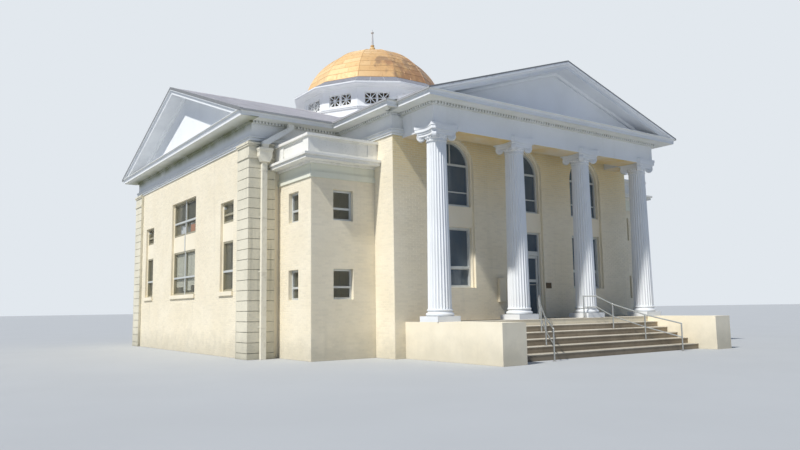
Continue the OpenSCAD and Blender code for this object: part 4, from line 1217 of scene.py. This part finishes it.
@dataclass
class Entrance:
    """Step nosings, rail flanges, door furniture, a bare plaque and a bare notice board."""

    palette: Palette
    half: float = 4.105
    cheek: float = 0.79
    first_y: float = -10.490
    tread: float = 0.358
    riser: float = 0.170
    risers: int = 6
    leaf_face: float = 8.825
    nose: float = 0.012
    thick: float = 0.028

    def build(self) -> None:
        """Make all the small work of the entrance."""
        # The nosing finish is paler as a painted highlight
        nosing = Piece("step_nosings", "nosing_painted_highlight", "concrete")
        turn = np.linspace(-np.pi / 2, np.pi / 2, 7)
        bull = np.column_stack([self.nose * np.cos(turn), self.thick / 2 * (np.sin(turn) - 1)])
        section = np.vstack([[[-0.03, -self.thick]], bull, [[-0.03, 0.0025]]])
        for k in range(self.risers):
            y, z = self.first_y - k * self.tread, self.riser * (self.risers - k)
            half = self.half + (self.cheek if k == 0 else -0.001)
            nosing.add(*sweep(section, np.array([[-half, y, z], [half, y, z]])))
        nosing.build(self.palette, smooth=True)
        self.flanges()
        self.boards()
        for name, side in (("left", -1), ("right", 1)):
            self.leaf(name, side)

    def flanges(self) -> None:
        """Round plates with a collar at the foot of each rail post."""
        piece = Piece("rail_flanges", "rail_steel", "rail_steel")
        feet = ((1.0, 10.40, 1.02), (1.594, 11.027, 0.68), (2.188, 11.743, 0.34), (2.8, 12.58, 0.0))
        for s in (-1, 1):
            for x, y, z in feet:
                for radius, low, high in ((0.055, 0.0, 0.008), (0.027, 0.004, 0.030)):
                    path = np.array([[s * x, -y, z + low], [s * x, -y, z + high]])
                    piece.add(*sweep(ring(radius, 20), path, (0, 1, 0)))
        piece.build(self.palette, smooth=True)

    def boards(self) -> None:
        """The bare plaque with its border and the bare notice case, both on the front wall."""
        plaque = Piece("wall_plaque", "bronze_plate", "painted_steel")
        plaque.panels(Side.FRONT, ARM_FACE, (0.84, 1.09, 1.98, 2.17), 0.018, 0.006)
        border = [(0.85, 1.08, 1.99, 2.002), (0.85, 1.08, 2.148, 2.16)]
        border += [(0.85, 0.862, 2.002, 2.148), (1.068, 1.08, 2.002, 2.148)]
        plaque.panels(Side.FRONT, ARM_FACE + 0.017, border, 0.006, 0.002)
        plaque.build(self.palette)
        case = Piece("notice_case", "painted_wall", "painted_steel")
        case.panels(Side.FRONT, ARM_FACE, (-1.33, -1.0, 1.55, 2.28), 0.085, 0.004)
        border = [(-1.345, -0.985, 2.27, 2.30), (-1.33, -1.0, 1.55, 1.59)]
        border += [(-1.33, -1.29, 1.59, 2.27), (-1.04, -1.0, 1.59, 2.27)]
        case.panels(Side.FRONT, ARM_FACE + 0.083, border, 0.016, 0.003)
        case.build(self.palette)

    def leaf(self, name: str, side: int) -> None:
        """Push bar, pull handle, kick plate and lock on one door leaf.

        Args:
            name: The leaf, left or right.
            side: -1 on the left and 1 on the right.
        """
        piece = Piece(f"{name}_door_furniture", "rail_steel", "frame_aluminium", f"door_leaf_{name}")
        y = -self.leaf_face
        near, far, grip, z = side * 0.07, side * 0.60, side * 0.045, 2.10
        bar = np.array([[near, y, z], [near, y - 0.055, z], [far, y - 0.055, z], [far, y, z]])
        piece.add(*sweep(ring(0.011, 10), bar, (0, 0, 1)))
        pull = np.array([[grip, y, 2.25], [grip, y - 0.06, 2.25], [grip, y - 0.06, 1.95], [grip, y, 1.95]])
        piece.add(*sweep(ring(0.012, 10), pull, (1, 0, 0)))
        kick = (*sorted((side * 0.02, side * 0.62)), 1.04, 1.165)
        piece.panels(Side.FRONT, self.leaf_face, kick, 0.003, 0.001)
        piece.panels(Side.FRONT, self.leaf_face, (grip - 0.02, grip + 0.02, 2.30, 2.38), 0.006, 0.002)
        piece.build(self.palette, smooth=True)


@dataclass
class Glazing:
    """Inner sash beads on the frames, blinds and cartons behind the wing windows."""

    palette: Palette
    front_reveal: float = 0.17
    side_reveal: float = 0.09
    frame: float = 0.05
    bead: float = 0.022
    half_bar: float = 0.03
    border: float = 0.06
    slat: float = 0.05
    wide_half: float = 1.19
    slim_half: float = 0.415
    rail_share: float = 0.4
    front_half: float = 0.67
    front_rows: tuple = ((2.05, 2.56), (2.62, 3.76))
    blind_depth: float = 0.182
    blind_top: float = 3.53
    carton_depth: float = 0.275
    laid_back: float = 0.345

    def sash(self, piece: Piece, side: Side, face: float, pane: Sequence[float]) -> None:
        """Four beads round one pane.

        Args:
            piece: The piece to add to.
            side: Side of the building.
            face: Distance of the wall face.
            pane: Left, right, low and high.
        """
        l, r, b, t = pane
        w = self.bead
        bars = [[l, r, b, b + w], [l, r, t - w, t], [l, l + w, b + w, t - w], [r - w, r, b + w, t - w]]
        deep = (self.front_reveal if side is Side.FRONT else self.side_reveal) + self.frame
        piece.panels(side, face - deep, bars, 0.016, 0.003)

    def beads(self) -> None:
        """Bead every pane of the wings, the back and the front."""
        piece = Piece("sash_beads", "side_sash", "frame_aluminium")
        halves = ((-self.wide_half, -self.half_bar), (self.half_bar, self.wide_half))
        for side in (Side.LEFT, Side.RIGHT, Side.BACK):
            face, narrow = (ARM_FACE, BACK_SLIM) if side is Side.BACK else (WING_FACE, WING_SLIM)
            panes = [(*half, *row) for row in (LOWER_ROW, UPPER_WIDE) for half in halves]
            slims = [(x - self.slim_half, x + self.slim_half) for x in (-narrow, narrow)]
            panes += [(*slim, *row) for slim in slims for row in (LOWER_ROW, UPPER_NARROW)]
            for l, r, low, high in panes:
                rail = low + self.rail_share * (high - low)
                self.sash(piece, side, face, (l, r, low + self.border, rail - self.half_bar))
                self.sash(piece, side, face, (l, r, rail + self.half_bar, high - self.border))
        for x in (-3, 3):
            for row in self.front_rows:
                self.sash(piece, Side.FRONT, ARM_FACE, (x - self.front_half, x + self.front_half, *row))
        piece.build(self.palette)

    def blinds(self) -> None:
        """Three blinds of slats in each lower wide window of the wings."""
        piece = Piece("window_blinds", "blind_slat", "render_white")
        rng = np.random.default_rng(5)
        for side in (Side.LEFT, Side.RIGHT):
            for l, r in ((-1.19, -0.42), (-0.40, 0.40), (0.42, 1.19)):
                z = np.arange(2.1 + 0.25 * rng.random(), self.blind_top, self.slat)
                boxes = np.column_stack([np.full_like(z, l), np.full_like(z, r), z, z + self.slat * 0.92])
                piece.panels(side, WING_FACE - self.blind_depth, boxes, (0.008, 0.008, 0.0, 0.0), 0.001)
                piece.tones[-1] = np.repeat(rng.random(len(z)) * 0.3, 6)
        piece.build(self.palette)

    def sill_boxes(self, name: str, finish: str, rows: Sequence[tuple[float, float, float]]) -> None:
        """Bare cartons inside the upper window of the left wing, on its sill.

        Args:
            name: Name of the piece.
            finish: Its finish.
            rows: First and last y and the height of each carton. One over 0.4 m is laid back a little.
        """
        piece = Piece(name, finish, "render_white")
        foot, thick = UPPER_WIDE[0] + 0.002, 0.10
        for first, last, height in rows:
            face = WING_FACE - (self.carton_depth if height <= 0.4 else self.laid_back)
            piece.panels(Side.LEFT, face, (-last, -first, foot, foot + height), thick, 0.004, 0.0)
        piece.build(self.palette)

    def build(self) -> None:
        """Make the beads, the blinds and the cartons."""
        self.beads()
        self.blinds()
        white = ((0.10, 0.60, 0.34), (0.63, 0.98, 0.43), (-0.25, -0.06, 0.44), (-1.04, -0.79, 0.42))
        self.sill_boxes("sill_boxes_white", "card_white", white)
        self.sill_boxes("sill_boxes_brown", "card_brown", ((-0.72, -0.29, 0.36), (-1.16, -1.07, 0.30)))


@dataclass
class Rainwater:
    """Straps round the downpipe."""

    palette: Palette
    x: float = -7.92
    face: float = 6.10
    height: float = 0.045
    half: float = 0.085
    ear: float = 0.05
    proud: float = 0.126
    ear_proud: float = 0.006

    def build(self) -> None:
        """Make the straps with their ears."""
        piece = Piece("pipe_straps", "cream_pipe", "painted_steel")
        for z in (0.9, 2.5, 4.1, 5.5):
            left, right, top = self.x - self.half, self.x + self.half, z + self.height
            ears = [(left - self.ear, left, z, top), (right, right + self.ear, z, top)]
            piece.panels(Side.FRONT, self.face, (left, right, z, top), self.proud, 0.0, 0.0)
            piece.panels(Side.FRONT, self.face, ears, self.ear_proud, 0.0, 0.0)
        piece.build(self.palette)


class Dresser:
    """Gives each CAD node its finish."""

    FINISHES = {
        "step_concrete": "foundation entrance_steps ground_floor upper_floor",
        "painted_wall": "front_walls front_wall_over_door wing_end_walls back_wall inner_walls cheek_walls",
        "painted_corner": "corner_walls",
        "painted_podium": "podium",
        "painted_quoin": "quoins",
        "white_render": "column_bases column_shafts column_capitals gable_walls drum_wall drum_cornice",
        "parapet_render": "corner_parapets",
        "white_cornice": "frieze wing_cornices arm_cornices portico_cornice raking_cornices",
        "porch_beam": "portico_beam portico_ceiling",
        "flashing": "wing_roofs arm_roofs portico_roof roof_deck",
        "white_metal": "drum_grilles",
        "cream_pipe": "rainwater",
        "gold_sheet": "dome",
        "finial_paint": "finial",
        "window_metal": "front_window_frames door_frame door_leaf_left door_leaf_right",
        "side_sash": "side_window_frames",
        "front_glass": "front_window_glass door_glass_left door_glass_right",
        "side_glass": "side_window_glass",
        "rail_steel": "handrails",
    }

    def __init__(self, palette: Palette) -> None:
        """Keep the palette."""
        self.palette = palette

    def build(self) -> None:
        """Put each finish on its nodes."""
        for finish, names in self.FINISHES.items():
            for name in names.split():
                mesh = frame["nodes"][name].data
                mesh.materials.clear()
                mesh.materials.append(self.palette[finish])
                LOG.info("%s: finish %s", name, finish)


@dataclass
class Studio:
    """Camera of the photograph's view, soft sun, sky light and a pale floor."""

    place: tuple[float, float, float] = (-16.444, -25.100, 1.378)
    yaw: float = 35.345
    pitch: float = 6.851
    roll: float = -0.874
    lens: float = 31.464
    sun_from: tuple[float, float, float] = (-0.62, -0.134, 0.775)
    sun_strength: float = 3.72
    sun_angle: float = 2.0
    sun_colour: tuple[float, float, float] = (1.0, 0.985, 0.955)
    sky_strength: float = 0.34
    sky_colour: Colour = (160, 193, 246)
    backdrop_colour: Colour = (226, 232, 238)
    floor_colours: tuple[Colour, Colour] = ((184, 186, 186), (176, 178, 178))
    floor_reach: float = 900.0

    def camera(self) -> None:
        """Set the camera: forward from yaw and pitch, right level with the ground, turned by the roll."""
        yaw, pitch, roll = (math.radians(a) for a in (self.yaw, self.pitch, self.roll))
        ahead = Vector((math.sin(yaw) * math.cos(pitch), math.cos(yaw) * math.cos(pitch), math.sin(pitch)))
        right = Vector((math.cos(yaw), -math.sin(yaw), 0))
        up = right.cross(ahead)
        x_axis = math.cos(roll) * right + math.sin(roll) * up
        y_axis = -math.sin(roll) * right + math.cos(roll) * up
        data = bpy.data.cameras.new("photo_view")
        data.sensor_fit, data.sensor_width, data.lens = "HORIZONTAL", 36.0, self.lens
        data.clip_end = 3000
        camera = bpy.data.objects.new("photo_view", data)
        turn = Matrix((x_axis, y_axis, -ahead)).transposed().to_4x4()
        camera.matrix_world = Matrix.Translation(self.place) @ turn
        bpy.context.scene.collection.objects.link(camera)
        bpy.context.scene.camera = camera

    def light(self) -> None:
        """Add a soft sun and a sky that the camera, metal and glass see as near white."""
        data = bpy.data.lights.new("soft_sun", "SUN")
        data.energy, data.angle, data.color = self.sun_strength, math.radians(self.sun_angle), self.sun_colour
        sun = bpy.data.objects.new("soft_sun", data)
        sun.rotation_mode = "QUATERNION"
        sun.rotation_quaternion = Vector(self.sun_from).to_track_quat("Z", "Y")
        bpy.context.scene.collection.objects.link(sun)
        world = bpy.data.worlds.new("studio_sky")
        bpy.context.scene.world = world
        world.use_nodes = True
        tree = world.node_tree
        tree.nodes.clear()
        seen = 0.0
        for kind in ("Is Camera Ray", "Is Glossy Ray", "Is Transmission Ray"):
            ray = add_node(tree, "LightPath", {}, kind)
            seen = add_node(tree, "Math", {0: seen, 1: ray}, operation="MAXIMUM")
        glow = add_node(tree, "Background", {"Color": self.sky_colour, "Strength": self.sky_strength})
        backdrop = add_node(tree, "Background", {"Color": self.backdrop_colour, "Strength": 1.0})
        add_node(tree, "OutputWorld", {0: add_node(tree, "MixShader", {0: seen, 1: glow, 2: backdrop})})

    def floor(self) -> None:
        """Lay a wide pale floor just under the building."""
        mesh = bpy.data.meshes.new("studio_floor")
        reach, below = self.floor_reach, -0.002
        corners = [(x * reach, y * reach, below) for x, y in ((-1, -1), (1, -1), (1, 1), (-1, 1))]
        mesh.from_pydata(corners, [], [(0, 1, 2, 3)])
        thing = bpy.data.objects.new("studio_floor", mesh)
        bpy.context.scene.collection.objects.link(thing)
        sh = Shader("studio_floor")
        share = sh.steps(sh.noise(0.4, 3), 0.3, 0.7, (0, 0.3))
        sh.set(Base_Color=sh.blend(share, *self.floor_colours), Roughness=0.95)
        mesh.materials.append(sh.material)

    def build(self) -> None:
        """Set the camera, the light and the floor."""
        self.camera()
        self.light()
        self.floor()
        bpy.context.scene.view_settings.view_transform = "Standard"


def main() -> None:
    """Dress the hall and report each piece."""
    logging.basicConfig(level=logging.INFO, format="%(name)s %(message)s")
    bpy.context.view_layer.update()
    Studio().build()
    palette = Palette()
    Dresser(palette).build()
    for part in (Brickwork, Roofing, Mouldings, Dome, Entrance, Glazing, Rainwater):
        part(palette).build()


if __name__ == "__main__":
    main()
